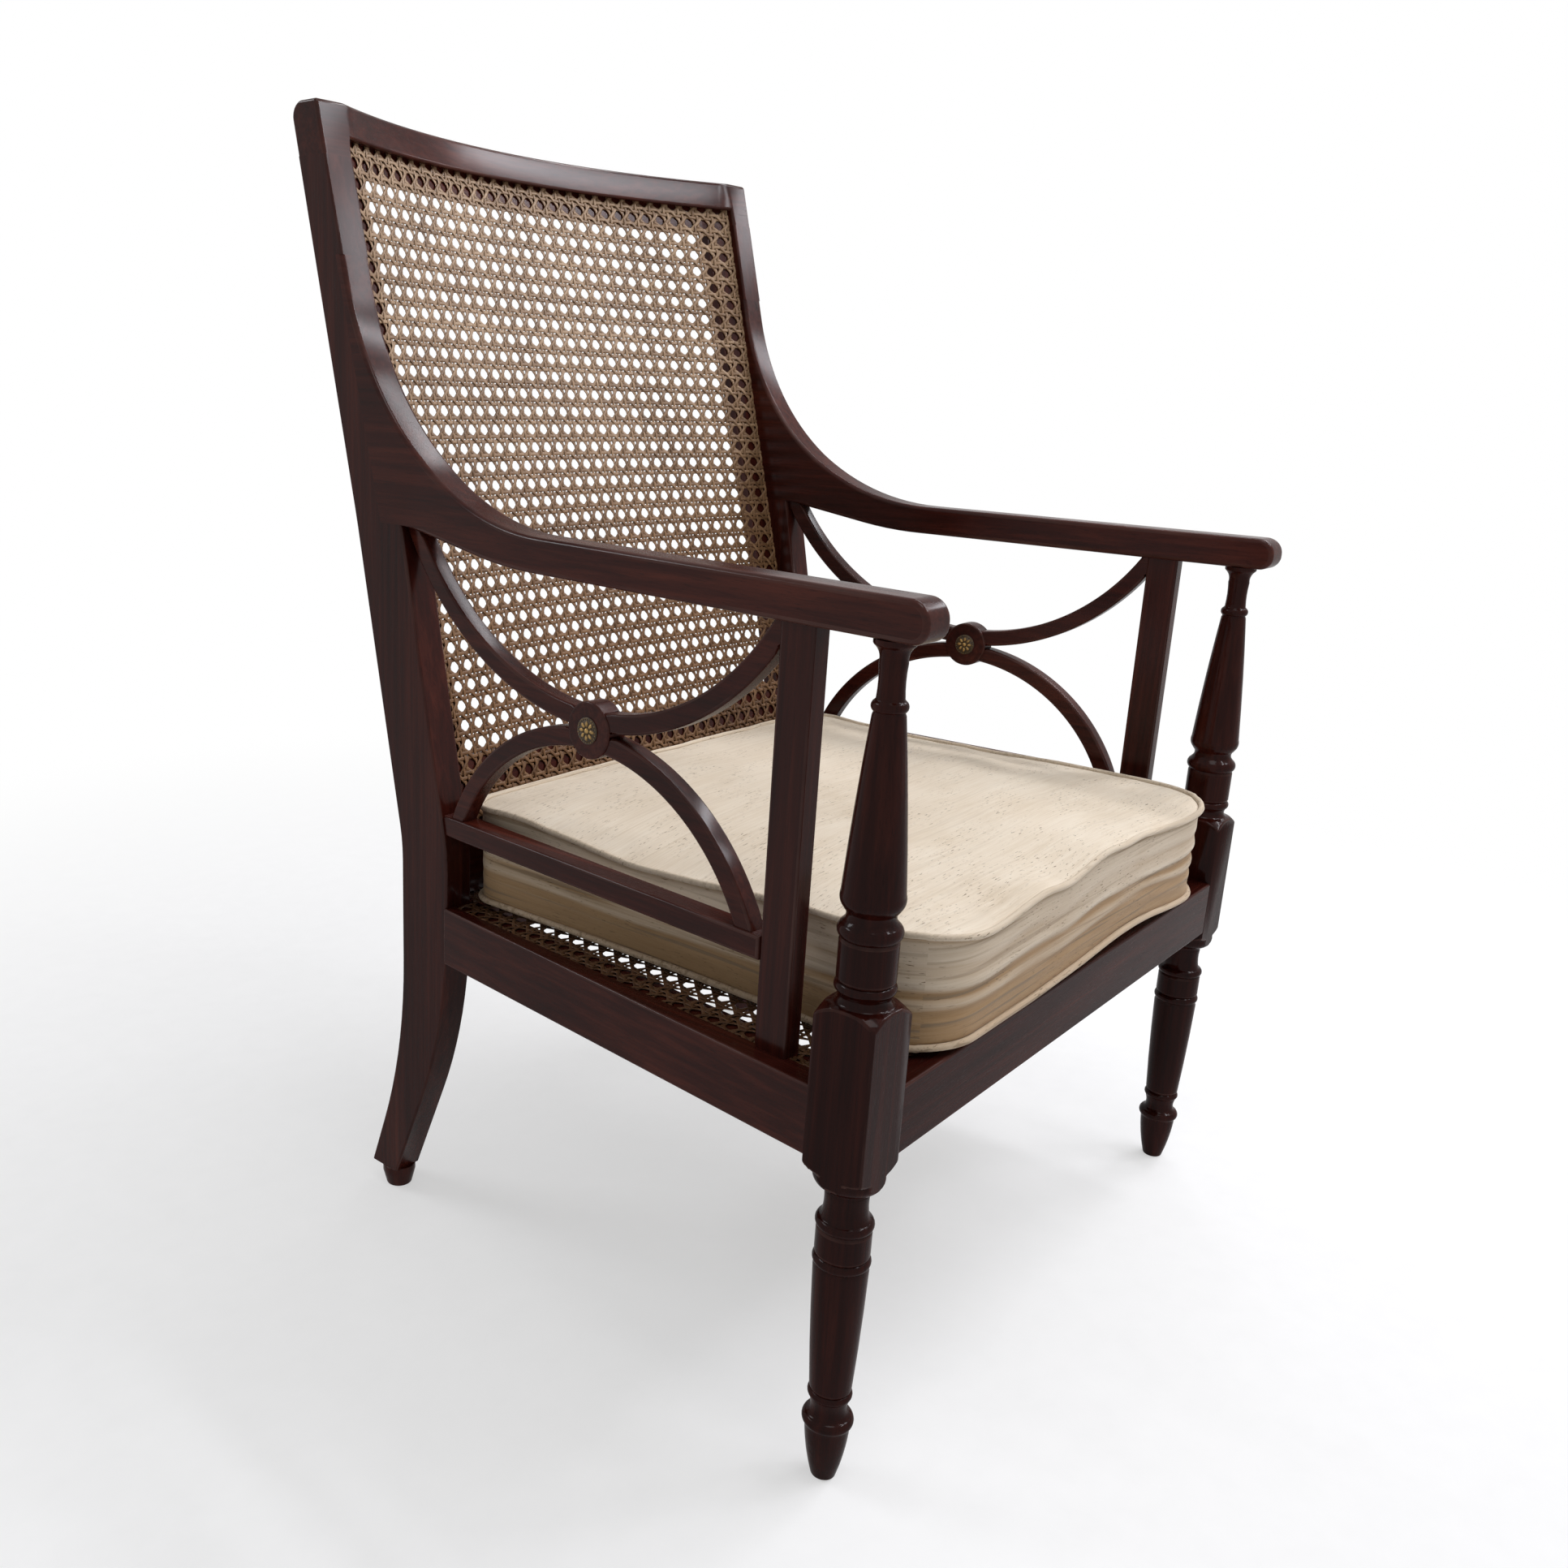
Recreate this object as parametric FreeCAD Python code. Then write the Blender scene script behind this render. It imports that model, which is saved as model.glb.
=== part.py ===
"""A caned library armchair: turned front legs, sabre back legs, swept arms over a lattice of bows,
a bowed cane back, a cane seat and a loose cushion.

Millimetres, +Z up, the chair's front towards -Y, its origin on the floor at the middle of its footprint.
Left and right are as seen from the front, so left is -X. Side outlines are drawn as (reach, height):
reach runs from the front post's axis towards the back.
"""
import os
from math import asin, cos, degrees, sin, sqrt, tan

import FreeCAD
import Part
from FreeCAD import Vector

# Overall sizes
POST_SPAN = 594.0       # between the axes of the front posts
STILE_SPAN = 538.0      # between the middles of the two stiles
SEAT_REACH = 414.0      # front post axis to the stile's front face at the seat
OVERALL_H = 942.0       # floor to the top of the crest rail

# Seat rails
RAIL_TOP = 300.0
RAIL_H = 50.0
RAIL_T = 36.0           # front and rear rails, front to back
SIDE_RAIL_T = 35.0      # side rails, across
REBATE_W = 18.0         # ledge that the seat cane is laid on, in the front and rear rails
SIDE_RAIL_EDGE = 10.0   # side rail outside the cane
CANE_T = 2.0

# Front legs and posts
BLOCK = 45.0            # side of the square block
BLOCK_RISE = 55.0       # block above the rail's top
BLOCK_DROP = 10.0       # block below the rail's underside
POST_TENON_R = 6.0
POST_TENON_H = 16.0
# The turning as (radius, height, bulge): heights run up from the floor, down from the block, up from the
# block and down from the arm. The bulge is how far the run to the next point swells out.
TOE_TURNING = (
    (8.6, 0.0, 1.2), (15.8, 43.0, 2.2), (15.8, 51.0, 0), (13.6, 52.0, -1.0), (13.6, 63.0, 0),
    (13.8, 65.0, 1.7), (13.8, 71.0, 0), (14.6, 72.0, 0.5),
)
LEG_TURNING = (
    (18.9, -73.0, 0), (17.8, -70.0, 2.0), (17.8, -63.0, 0), (18.8, -62.0, 0), (18.8, -43.0, 0),
    (17.8, -42.0, 2.0), (17.8, -35.0, 0), (16.0, -34.0, -0.8), (15.2, -16.0, -0.8), (16.4, -11.0, 0),
    (17.6, -11.0, 2.4), (24.0, -1.0, 0), (24.6, 0.0, 1.0),
)
POST_TURNING = (
    (24.0, 3.0, 0), (20.0, 4.0, -1.5), (17.8, 11.0, 0), (18.0, 12.0, 2.1), (18.0, 19.0, 0), (19.2, 20.0, 0),
    (19.2, 47.0, 0), (18.4, 48.0, 2.6), (18.4, 58.0, 0), (17.6, 59.0, -1.8), (17.6, 67.0, 0),
    (19.6, 70.0, 0.8), (20.3, 78.0, 0.6),
)
NECK_TURNING = (
    (10.4, -46.0, 0), (9.6, -44.0, 1.9), (9.6, -37.0, 0), (8.8, -36.0, -0.6), (8.9, -14.0, -1.6),
    (12.6, -3.5, 0), (13.2, -2.5, 0),
)
BLOCK_SHOULDER = 5.0    # height over which the block's corners are turned away at its top
BLOCK_HEEL = 7.0        # and at its foot

# Stiles and sabre legs
SIDE_T = 28.0           # thickness of stiles and arms
STILE_D = 58.0          # depth of a stile at the seat
STILE_TOP_D = 35.0      # depth of a stile at the crest
BEND_RISE = 45.0        # rail top to the bend where the back starts to lean
BEND_R = 150.0
LOWER_RAKE = 0.207      # lean of the stile below the arm, reach per height
BACK_RAKE = 0.255       # lean of the stile above the arm
SWEEP_SET = 74.4        # upper front line behind the seat's front line, at the arm's height
STILE_BEND_R = 1500.0
KNEE_FRONT_Z = 192.0
KNEE_BACK_Z = 150.0
SABRE_FRONT_R = 450.0
SABRE_BACK_R = 500.0
SABRE_KICK = 46.0       # how far the leg sweeps back
LEG_END_D = 34.0        # depth of the leg where it ends
CREST_CORNER_R = 12.0

# Rear foot pegs
FOOT_H = 20.0
FOOT_TOP_R = 15.0
FOOT_BASE_R = 11.5
FOOT_PIN_R = 5.0
FOOT_PIN_H = 22.0
FOOT_SET = 5.0          # rear foot in front of the middle of the leg's end

# Arms
ARM_TOP = 618.0         # top of the arm at its front end
ARM_THICK = 27.0
ARM_SLOPE = 0.0088      # rise of the arm towards the back
ARM_OVERHANG = 28.0     # arm in front of the post's axis
ARM_NOSE_TOP_R = 14.0
ARM_NOSE_LOW_R = 11.0
SWEEP_R = 240.0         # sweep of the arm up into the stile
HORN_TIP = 8.0          # thickness of the horn's tip, let into the stile
HORN_LAP = 22.0         # tip above the end of the sweep
SHOULDER_DROP = 3.0     # stile's shoulder below the arm's front top
UNDER_SET = 69.0        # start of the underside's rise, in front of the stile
UNDER_R = 400.0

# Uprights, lower arm rails and lattice
UPRIGHT_SET = 53.0      # post axis to the upright's front face
UPRIGHT_D = 27.0
UPRIGHT_T = 16.0
LOWER_RAIL_RISE = 80.0  # lower arm rail's top above the seat rail's
LOWER_RAIL_H = 17.0
LOWER_RAIL_T = 20.0
BOW_H = 15.0            # bow's thickness in the plane of the lattice
BOW_T = 15.0            # bow's thickness across it
BOW_DROP = 4.0          # upper bow's middle below the arm, at its two ends
BOW_FOOT_SET = 16.5     # lower bow's foot behind the upright
LET_IN = 6.0            # depth that a bow's end is let into its neighbour
BOSS_R = 21.5
BOSS_CORE_R = 12.0
BOSS_T = 18.0
ROSETTE_R = 10.0
ROSETTE_EYE_R = 3.4   # flat in the middle of the dome
ROSETTE_H = 3.0
ROSETTE_RIM = 0.8
ROSETTE_PIN_R = 1.2
ROSETTE_PIN_L = 6.0

# Crest rail and the caned panel of the back
CREST_H = 27.0
CREST_T = 28.0
CREST_BOW = 63.0        # how far the crest bows back in its middle
EAR_H = 42.0            # height of the crest's ends, over the stiles
PANEL_RISE = 45.0       # rail top to the underside of the panel
PANEL_RECESS = 7.0      # cane behind the crest's front face
CANE_GAP = 0.4          # cane to the battens behind it
BATTEN_W = 25.0
BATTEN_T = 12.0
BOTTOM_RAIL_H = 70.0
SCREW_R = 2.0
SCREW_L = 36.0
SCREW_HEAD_R = 4.0
SCREW_HEAD_H = 3.0
SCREW_PLACES = (-165.0, -60.0, 60.0, 165.0)

# Tenons
TENON_T = 12.0
TENON_MARGIN = 8.0      # rail above and below its tenon
FRONT_TENON_L = 18.0
SIDE_TENON_L = 16.0
REAR_TENON_L = 14.0
SMALL_TENON_T = 8.0
SMALL_TENON_L = 12.0

# Cushion
CUSHION_OVERHANG = 6.0  # cushion's front edge in front of the front rail
CUSHION_GAP = 22.5      # beside the front blocks
CUSHION_BACK_GAP = 3.0  # beside the stiles
CUSHION_REAR = 4.0      # cushion's back edge behind the stiles' front faces
CUSHION_SHIFT = 2.0     # the loose cushion lies this far to the right
CUSHION_LIFT = 0.4      # clear of the cane
CUSHION_FRONT_R = 52.0  # corners in plan
CUSHION_BACK_R = 30.0
CUSHION_DRAW = 6.0      # how far each side is drawn in between its corners
# Heights above the cushion's base and how far the outline is set in there: base, lower seam, boxing,
# upper seam, and the crown of the top.
CUSHION_SECTIONS = (
    (0.0, 9.0), (6.0, 1.0), (45.0, 4.0), (84.0, 0.0), (91.0, 13.0), (98.0, 42.0), (104.0, 95.0),
)

# Worked out from the sizes above
STILE_X = STILE_SPAN / 2
INNER_X = STILE_X - SIDE_T / 2
PIVOT = SEAT_REACH + STILE_D / 2
TAPER = asin((POST_SPAN - STILE_SPAN) / 2 / PIVOT)
POST_Y = PIVOT - PIVOT * cos(TAPER)
RAIL_LOW = RAIL_TOP - RAIL_H
BEND_Z = RAIL_TOP + BEND_RISE
SHOULDER_Z = ARM_TOP - SHOULDER_DROP
UPRIGHT_BACK = UPRIGHT_SET + UPRIGHT_D
UNDER_BREAK = SEAT_REACH - UNDER_SET
LOWER_RAIL_TOP = RAIL_TOP + LOWER_RAIL_RISE
PANEL_Z = RAIL_TOP + PANEL_RISE
PANEL_TOP = OVERALL_H - CREST_H
BATTEN_FACE = PANEL_RECESS + CANE_T + CANE_GAP
FAR = 2 * OVERALL_H     # past every piece, for trimming


# Lines that the side outlines share

def front_line(z):
    """Reach of the stile's upper front line."""
    return SEAT_REACH + SWEEP_SET + BACK_RAKE * (z - ARM_TOP)


def horn_seat(z):
    """Reach of the housing that the arm's horn is let into."""
    return front_line(z) + HORN_TIP


def lower_front(z):
    """Reach of the stile's front face between the bend and the arm."""
    return SEAT_REACH + LOWER_RAKE * (z - BEND_Z)


def arm_top(reach):
    return ARM_TOP + ARM_SLOPE * (reach + ARM_OVERHANG)


def arm_under(reach):
    """Underside of the arm: nearly level, then rising to the stile's shoulder."""
    if reach < UNDER_BREAK:
        return arm_top(reach) - ARM_THICK
    start = arm_top(UNDER_BREAK) - ARM_THICK
    rise = (SHOULDER_Z - start) / (lower_front(SHOULDER_Z) - UNDER_BREAK)
    return start + rise * (reach - UNDER_BREAK)


def sweep_corner():
    """Where the line of the arm's top would meet the stile's upper front line."""
    reach = front_line(ARM_TOP)
    for _ in range(20):
        reach = front_line(arm_top(reach))
    return reach, arm_top(reach)


def tip_height():
    """Height of the horn's tip: past the end of the sweep."""
    reach, height = sweep_corner()
    along_arm = Vector(-1, -ARM_SLOPE, 0)
    along_stile = Vector(BACK_RAKE, 1, 0).normalize()
    run = SWEEP_R / tan(along_arm.getAngle(along_stile) / 2)
    return height + run * along_stile.y + HORN_LAP


# Shapes

def box(x, y, z):
    """A block from its (low, high) limits along each axis."""
    return Part.makeBox(x[1] - x[0], y[1] - y[0], z[1] - z[0], Vector(x[0], y[0], z[0]))


def single(shape):
    """The one solid that a cut or a fuse leaves."""
    solids = shape.removeSplitter().Solids
    if len(solids) != 1:
        raise ValueError(f"{len(solids)} solids where one was meant")
    return solids[0]


def rounded_edges(corners, place):
    """Edges of a closed outline of (u, v, radius) corners, with a tangent arc at each rounded one."""
    joins = []
    for index, (u, v, radius) in enumerate(corners):
        here = Vector(u, v, 0)
        back = (Vector(*corners[index - 1][:2], 0) - here).normalize()
        ahead = (Vector(*corners[(index + 1) % len(corners)][:2], 0) - here).normalize()
        half = back.getAngle(ahead) / 2
        run = radius / tan(half)
        middle = here + (back + ahead).normalize() * (radius / sin(half) - radius)
        joins.append((here + back * run, middle, here + ahead * run))
    edges = []
    for index, (start, middle, end) in enumerate(joins):
        if corners[index][2]:
            edges.append(Part.Arc(place(start), place(middle), place(end)).toShape())
        edges.append(Part.makeLine(place(end), place(joins[(index + 1) % len(joins)][0])))
    return edges


def side_prism(corners, thickness):
    """A board sawn to a side outline, centred on X = 0."""
    wire = Part.Wire(rounded_edges(corners, lambda p: Vector(-thickness / 2, p.x, p.y)))
    return Part.Face(wire).extrude(Vector(thickness, 0, 0))


def plan_prism(corners, low, high):
    """A board sawn to a plan outline of (x, y) corners."""
    points = [Vector(x, y, low) for x, y in corners]
    return Part.Face(Part.makePolygon(points + points[:1])).extrude(Vector(0, 0, high - low))


def lathe(profile):
    """A turned solid about Z from (radius, height, bulge) points, bottom to top.

    The bulge is how far the run to the next point swells out: a bead, or a hollow where it is negative.
    """
    edges = []
    points = [(0.0, profile[0][1], 0.0)] + profile + [(0.0, profile[-1][1], 0.0)]
    for (r0, z0, bulge), (r1, z1, _) in zip(points, points[1:]):
        start, end = Vector(r0, 0, z0), Vector(r1, 0, z1)
        if bulge:
            out = Vector(z1 - z0, 0, r0 - r1).normalize()
            edges.append(Part.Arc(start, (start + end) / 2 + out * bulge, end).toShape())
        else:
            edges.append(Part.makeLine(start, end))
    edges.append(Part.makeLine(Vector(0, 0, points[-1][1]), Vector(0, 0, points[0][1])))
    return Part.Face(Part.Wire(edges)).revolve(Vector(0, 0, 0), Vector(0, 0, 1), 360)


def across(shape, x):
    """Turns a piece made about Z to lie along +X, starting at x."""
    turned = shape.copy()
    turned.rotate(Vector(0, 0, 0), Vector(0, 1, 0), 90)
    turned.translate(Vector(x, 0, 0))
    return turned


def to_side(shape):
    """Moves a piece drawn on the side plane to the left side, which tapers in towards the back."""
    placed = shape.copy()
    placed.translate(Vector(0, -PIVOT, 0))
    placed.rotate(Vector(0, 0, 0), Vector(0, 0, 1), -degrees(TAPER))
    placed.translate(Vector(-STILE_X, PIVOT, 0))
    return placed


def side_point(x, reach):
    """Plan position of a point on the left side plane's own axes, as (x, y)."""
    along = reach - PIVOT
    return (-STILE_X + x * cos(TAPER) + along * sin(TAPER), PIVOT - x * sin(TAPER) + along * cos(TAPER))


def to_stile(shape):
    """Moves a piece drawn on X = 0 to the left stile."""
    placed = shape.copy()
    placed.translate(Vector(-STILE_X, 0, 0))
    return placed


def mirrored(shape):
    return shape.mirror(Vector(0, 0, 0), Vector(1, 0, 0))


# Stiles, with the crest's ears sawn to the same outline

def stile_outline():
    tip = tip_height()
    leg_back = SEAT_REACH + STILE_D
    return [
        (leg_back + SABRE_KICK, FOOT_H, 0),
        (leg_back + SABRE_KICK - LEG_END_D, FOOT_H, 0),
        (SEAT_REACH, KNEE_FRONT_Z, SABRE_FRONT_R),
        (SEAT_REACH, BEND_Z, BEND_R),
        (lower_front(SHOULDER_Z), SHOULDER_Z, 0),
        (horn_seat(SHOULDER_Z), SHOULDER_Z, 0),
        (horn_seat(tip), tip, 0),
        (front_line(tip), tip, 0),
        (front_line(OVERALL_H), OVERALL_H, 0),
        (front_line(OVERALL_H) + STILE_TOP_D, OVERALL_H, CREST_CORNER_R),
        (lower_front(SHOULDER_Z) + STILE_D, SHOULDER_Z, STILE_BEND_R),
        (leg_back, BEND_Z, BEND_R),
        (leg_back, KNEE_BACK_Z, SABRE_BACK_R),
    ]


def stile_blank():
    """Left stile and crest ear together, before they are parted."""
    return to_stile(side_prism(stile_outline(), SIDE_T))


def ear_tenon():
    """Tenon of the left stile into the crest's ear."""
    joint = OVERALL_H - EAR_H
    middle = front_line(joint) + STILE_TOP_D / 2 + BACK_RAKE * SMALL_TENON_L
    half = TENON_T / 2
    across_joint = (-STILE_X - half, -STILE_X + half)
    return box(across_joint, (middle - half, middle + half), (joint - 1, joint + EAR_H / 2))


def rear_foot():
    """Turned peg under the left sabre leg, with a pin up into the leg."""
    peg = lathe([(FOOT_BASE_R, 0, 0), (FOOT_TOP_R, FOOT_H * 0.7, 0), (FOOT_TOP_R, FOOT_H, 0)])
    peg = peg.fuse(Part.makeCylinder(FOOT_PIN_R, FOOT_H + FOOT_PIN_H))
    peg.translate(Vector(-STILE_X, SEAT_REACH + STILE_D + SABRE_KICK - LEG_END_D / 2 - FOOT_SET, 0))
    return single(peg)


# Arms

def arm_outline():
    tip = tip_height()
    corner_reach, corner_z = sweep_corner()
    return [
        (-ARM_OVERHANG, arm_under(-ARM_OVERHANG), ARM_NOSE_LOW_R),
        (-ARM_OVERHANG, arm_top(-ARM_OVERHANG), ARM_NOSE_TOP_R),
        (corner_reach, corner_z, SWEEP_R),
        (front_line(tip), tip, 0),
        (horn_seat(tip), tip, 0),
        (horn_seat(SHOULDER_Z), SHOULDER_Z, 0),
        (lower_front(SHOULDER_Z), SHOULDER_Z, 0),
        (UNDER_BREAK, arm_under(UNDER_BREAK), UNDER_R),
    ]


def arm_tenon():
    """Tenon of the left arm into its stile."""
    low = SHOULDER_Z + TENON_MARGIN
    reach = horn_seat(low)
    half = TENON_T / 2
    across_joint = (-STILE_X - half, -STILE_X + half)
    return box(across_joint, (reach - TENON_T, reach + FRONT_TENON_L), (low, low + 2 * TENON_T))


def arm():
    """Left arm: sawn to the side outline, and in plan straight along the side, then square to the stile."""
    half = SIDE_T / 2
    nose_x = STILE_X + (PIVOT + FAR) * tan(TAPER)
    plan = [
        (-nose_x - half, -FAR), (-nose_x + half, -FAR), (-STILE_X + half, PIVOT), (-STILE_X + half, FAR),
        (-STILE_X - half, FAR), (-STILE_X - half, PIVOT),
    ]
    board = side_prism(arm_outline(), 2 * FAR)
    return single(board.common(plan_prism(plan, 0, FAR)))


# Front legs

def turned_leg():
    """Left front leg and arm post, turned from one square length."""
    low = RAIL_LOW - BLOCK_DROP
    top = RAIL_TOP + BLOCK_RISE
    under = arm_under(0)
    past_corners = BLOCK * 0.75
    profile = list(TOE_TURNING)
    profile += [(radius, low + height, bulge) for radius, height, bulge in LEG_TURNING]
    profile += [(past_corners, low + BLOCK_HEEL, 0), (past_corners, top - BLOCK_SHOULDER, 0)]
    profile += [(radius, top + height, bulge) for radius, height, bulge in POST_TURNING]
    profile += [(radius, under + height, bulge) for radius, height, bulge in NECK_TURNING]
    profile.append((NECK_TURNING[-1][0], under + 2, 0))
    half = BLOCK / 2
    leg = lathe(profile).common(box((-half, half), (-half, half), (-1, FAR)))
    leg.translate(Vector(-POST_SPAN / 2, POST_Y, 0))
    return single(leg)


def post_tenon():
    """Round tenon of the left post into the arm."""
    under = arm_under(0)
    return Part.makeCylinder(POST_TENON_R, POST_TENON_H + 3, Vector(-POST_SPAN / 2, POST_Y, under - 3))


# Seat rails

def tenon_z():
    return (RAIL_LOW + TENON_MARGIN, RAIL_TOP - TENON_MARGIN)


def block_corner():
    """Outer back corner of the left block, on the side plane's axes."""
    half = BLOCK / 2
    return (-half * cos(TAPER) - half * sin(TAPER), half * cos(TAPER) - half * sin(TAPER))


def side_rail_blank():
    """Left side rail, longer than its place: the leg and the stile cut its shoulders."""
    outer = -SIDE_T / 2
    inner = outer + SIDE_RAIL_T
    corners = [block_corner(), (outer, SEAT_REACH + 1), (inner, SEAT_REACH + 1), (inner, BLOCK / 2)]
    return to_side(plan_prism(corners, RAIL_LOW, RAIL_TOP))


def side_rail_tenons():
    """The left side rail's tenons into the leg's block and the stile."""
    half = TENON_T / 2
    front_end = BLOCK / 2 - SIDE_TENON_L
    front = box((-half, half), (front_end, BLOCK), tenon_z())
    back = box((-half, half), (SEAT_REACH - TENON_T, SEAT_REACH + SIDE_TENON_L), tenon_z())
    return to_side(front), to_side(back)


def front_rail():
    """Front rail, its face level with the blocks, with a tenon at each end."""
    end = POST_SPAN / 2 - BLOCK / 2
    face = POST_Y - BLOCK / 2
    rail = box((-end, end), (face, face + RAIL_T), (RAIL_LOW, RAIL_TOP))
    tenon_y = face + TENON_MARGIN
    reach = end + FRONT_TENON_L
    return single(rail.fuse(box((-reach, reach), (tenon_y, tenon_y + TENON_T), tenon_z())))


def rear_rail():
    """Rear rail between the stiles, with a tenon at each end."""
    face = SEAT_REACH + TENON_T
    rail = box((-INNER_X, INNER_X), (face, face + RAIL_T), (RAIL_LOW, RAIL_TOP))
    tenon_y = face + TENON_T
    reach = INNER_X + REAR_TENON_L
    return single(rail.fuse(box((-reach, reach), (tenon_y, tenon_y + TENON_T), tenon_z())))


def seat_cane():
    """Cane seat, laid on the ledges of the four rails and cut round the legs and stiles."""
    front = POST_Y - BLOCK / 2 + RAIL_T - REBATE_W
    beside_block = POST_SPAN / 2 - BLOCK / 2 - 1
    behind_block = POST_Y + BLOCK / 2 + 1
    edge = SIDE_RAIL_EDGE - SIDE_T / 2
    side_front = side_point(edge, behind_block)
    side_back = side_point(edge, SEAT_REACH - 2)
    back = SEAT_REACH + TENON_T + REBATE_W
    left = [
        (-beside_block, front), (-beside_block, behind_block), (side_front[0], behind_block), side_back,
        (-INNER_X + 1, side_back[1]), (-INNER_X + 1, back),
    ]
    right = [(-x, y) for x, y in reversed(left)]
    return plan_prism(left + right, RAIL_TOP - CANE_T, RAIL_TOP)


# Uprights, lower arm rails and lattice, drawn on the side plane

def upright_notch():
    """What the left upright's foot takes out of the seat cane."""
    half = UPRIGHT_T / 2
    return to_side(box((-half, half), (UPRIGHT_SET, UPRIGHT_BACK), (RAIL_LOW, RAIL_TOP + 1)))


def upright():
    """Left arm upright, with tenons into the side rail and the arm."""
    half = UPRIGHT_T / 2
    post = box((-half, half), (UPRIGHT_SET, UPRIGHT_BACK), (RAIL_TOP, arm_under(UPRIGHT_BACK) + 1))
    thin = SMALL_TENON_T / 2
    inset = (UPRIGHT_SET + TENON_MARGIN, UPRIGHT_BACK - TENON_MARGIN)
    foot = box((-thin, thin), inset, (RAIL_TOP - SMALL_TENON_L, RAIL_TOP))
    head = box((-thin, thin), inset, (RAIL_TOP, arm_under(UPRIGHT_SET) + SMALL_TENON_L))
    return post, foot, head


def lower_rail():
    """Left lower arm rail and its two tenons."""
    half = LOWER_RAIL_T / 2
    low = LOWER_RAIL_TOP - LOWER_RAIL_H
    back = lower_front(LOWER_RAIL_TOP)
    rail = box((-half, half), (UPRIGHT_BACK, back + 2), (low, LOWER_RAIL_TOP))
    thin = SMALL_TENON_T / 2
    height = (low + LOWER_RAIL_H / 4, LOWER_RAIL_TOP - LOWER_RAIL_H / 4)
    front_tenon = box((-thin, thin), (UPRIGHT_BACK - SMALL_TENON_L, UPRIGHT_BACK), height)
    back_tenon = box((-thin, thin), (back - SMALL_TENON_L, back + SMALL_TENON_L), height)
    return rail, front_tenon, back_tenon


def boss_place():
    """Middle of the lattice: reach and height."""
    reach = (UPRIGHT_BACK + lower_front(LOWER_RAIL_TOP)) / 2
    return reach, (LOWER_RAIL_TOP + arm_under(reach)) / 2


def ring(radius, reach, height):
    """A whole hoop of bow section about an axis along X."""
    base, along = Vector(-BOW_T / 2, reach, height), Vector(1, 0, 0)
    outer = Part.makeCylinder(radius + BOW_H / 2, BOW_T, base, along)
    return outer.cut(Part.makeCylinder(radius - BOW_H / 2, BOW_T, base, along))


def bow_radius(run, rise):
    """Radius of an arc that rises by rise over a run from its level middle."""
    return (run * run + rise * rise) / (2 * rise)


def bows():
    """The four quarter bows, by name, with their ends run into what they are let into."""
    reach, height = boss_place()
    across_bow = (-BOW_T, BOW_T)
    upper_mid = height + BOW_H / 2
    front_r = bow_radius(reach - UPRIGHT_BACK, arm_under(UPRIGHT_BACK) - BOW_DROP - upper_mid)
    upper_front = ring(front_r, reach, upper_mid + front_r)
    corner = lower_front(SHOULDER_Z)
    rear_r = bow_radius(corner - BOW_H / 2 - reach, SHOULDER_Z - BOW_DROP - upper_mid)
    upper_rear = ring(rear_r, reach, upper_mid + rear_r)
    lower_mid = height - BOW_H / 2
    lower_r = bow_radius(reach - UPRIGHT_BACK - BOW_FOOT_SET, lower_mid - LOWER_RAIL_TOP)
    lower = ring(lower_r, reach, lower_mid - lower_r)
    front_end = UPRIGHT_BACK - LET_IN
    foot = (LOWER_RAIL_TOP - LET_IN, height)
    front_top = (height, arm_under(front_end) + LET_IN)
    rear_top = (height, SHOULDER_Z + LET_IN / 2)
    core = Part.makeCylinder(BOSS_CORE_R, 2 * BOW_T, Vector(-BOW_T, reach, height), Vector(1, 0, 0))
    cuts = {
        "upper_front_bow": upper_front.common(box(across_bow, (front_end, reach), front_top)),
        "upper_rear_bow": upper_rear.common(box(across_bow, (reach, corner), rear_top)),
        "lower_front_bow": lower.common(box(across_bow, (front_end, reach), foot)),
        "lower_rear_bow": lower.common(box(across_bow, (reach, FAR), foot)),
    }
    return {name: single(bow.cut(core)) for name, bow in cuts.items()}


def boss():
    """Turned boss in the middle of the lattice, before its sockets are cut."""
    reach, height = boss_place()
    return Part.makeCylinder(BOSS_R, BOSS_T, Vector(-BOSS_T / 2, reach, height), Vector(1, 0, 0))


def rosettes():
    """Domed brass rosettes on the boss's two faces, each on its pin."""
    dome = lathe([(ROSETTE_R, 0, 0), (ROSETTE_R, ROSETTE_RIM, 0.9), (ROSETTE_EYE_R, ROSETTE_H, 0)])
    pin = Part.makeCylinder(ROSETTE_PIN_R, ROSETTE_PIN_L, Vector(0, 0, -ROSETTE_PIN_L))
    inner = across(single(dome.fuse(pin)), BOSS_T / 2)
    reach, height = boss_place()
    inner.translate(Vector(0, reach, height))
    return inner, mirrored(inner)


# Crest rail and caned panel

def bow_depth(x):
    """How far the crest's front lies behind its ends."""
    radius = bow_radius(INNER_X, CREST_BOW)
    return CREST_BOW - radius + sqrt(radius * radius - x * x)


def back_slab(near, far):
    """The back's face, bowed at the crest and straight at the foot, as a slab between two depths."""
    top = front_line(OVERALL_H)
    ends = [Vector(x, top + bow_depth(x), OVERALL_H) for x in (-INNER_X, 0, INNER_X)]
    foot_y = front_line(PANEL_Z)
    foot = Part.makeLine(Vector(-INNER_X, foot_y, PANEL_Z), Vector(INNER_X, foot_y, PANEL_Z))
    face = Part.makeRuledSurface(foot, Part.Arc(*ends).toShape())
    face.translate(Vector(0, near, 0))
    return face.extrude(Vector(0, far - near, 0))


def panel_piece(slab, x, z):
    """What a slab of the back holds between (low, high) limits across and in height."""
    return single(slab.common(box(x, (0, FAR), z)))


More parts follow.
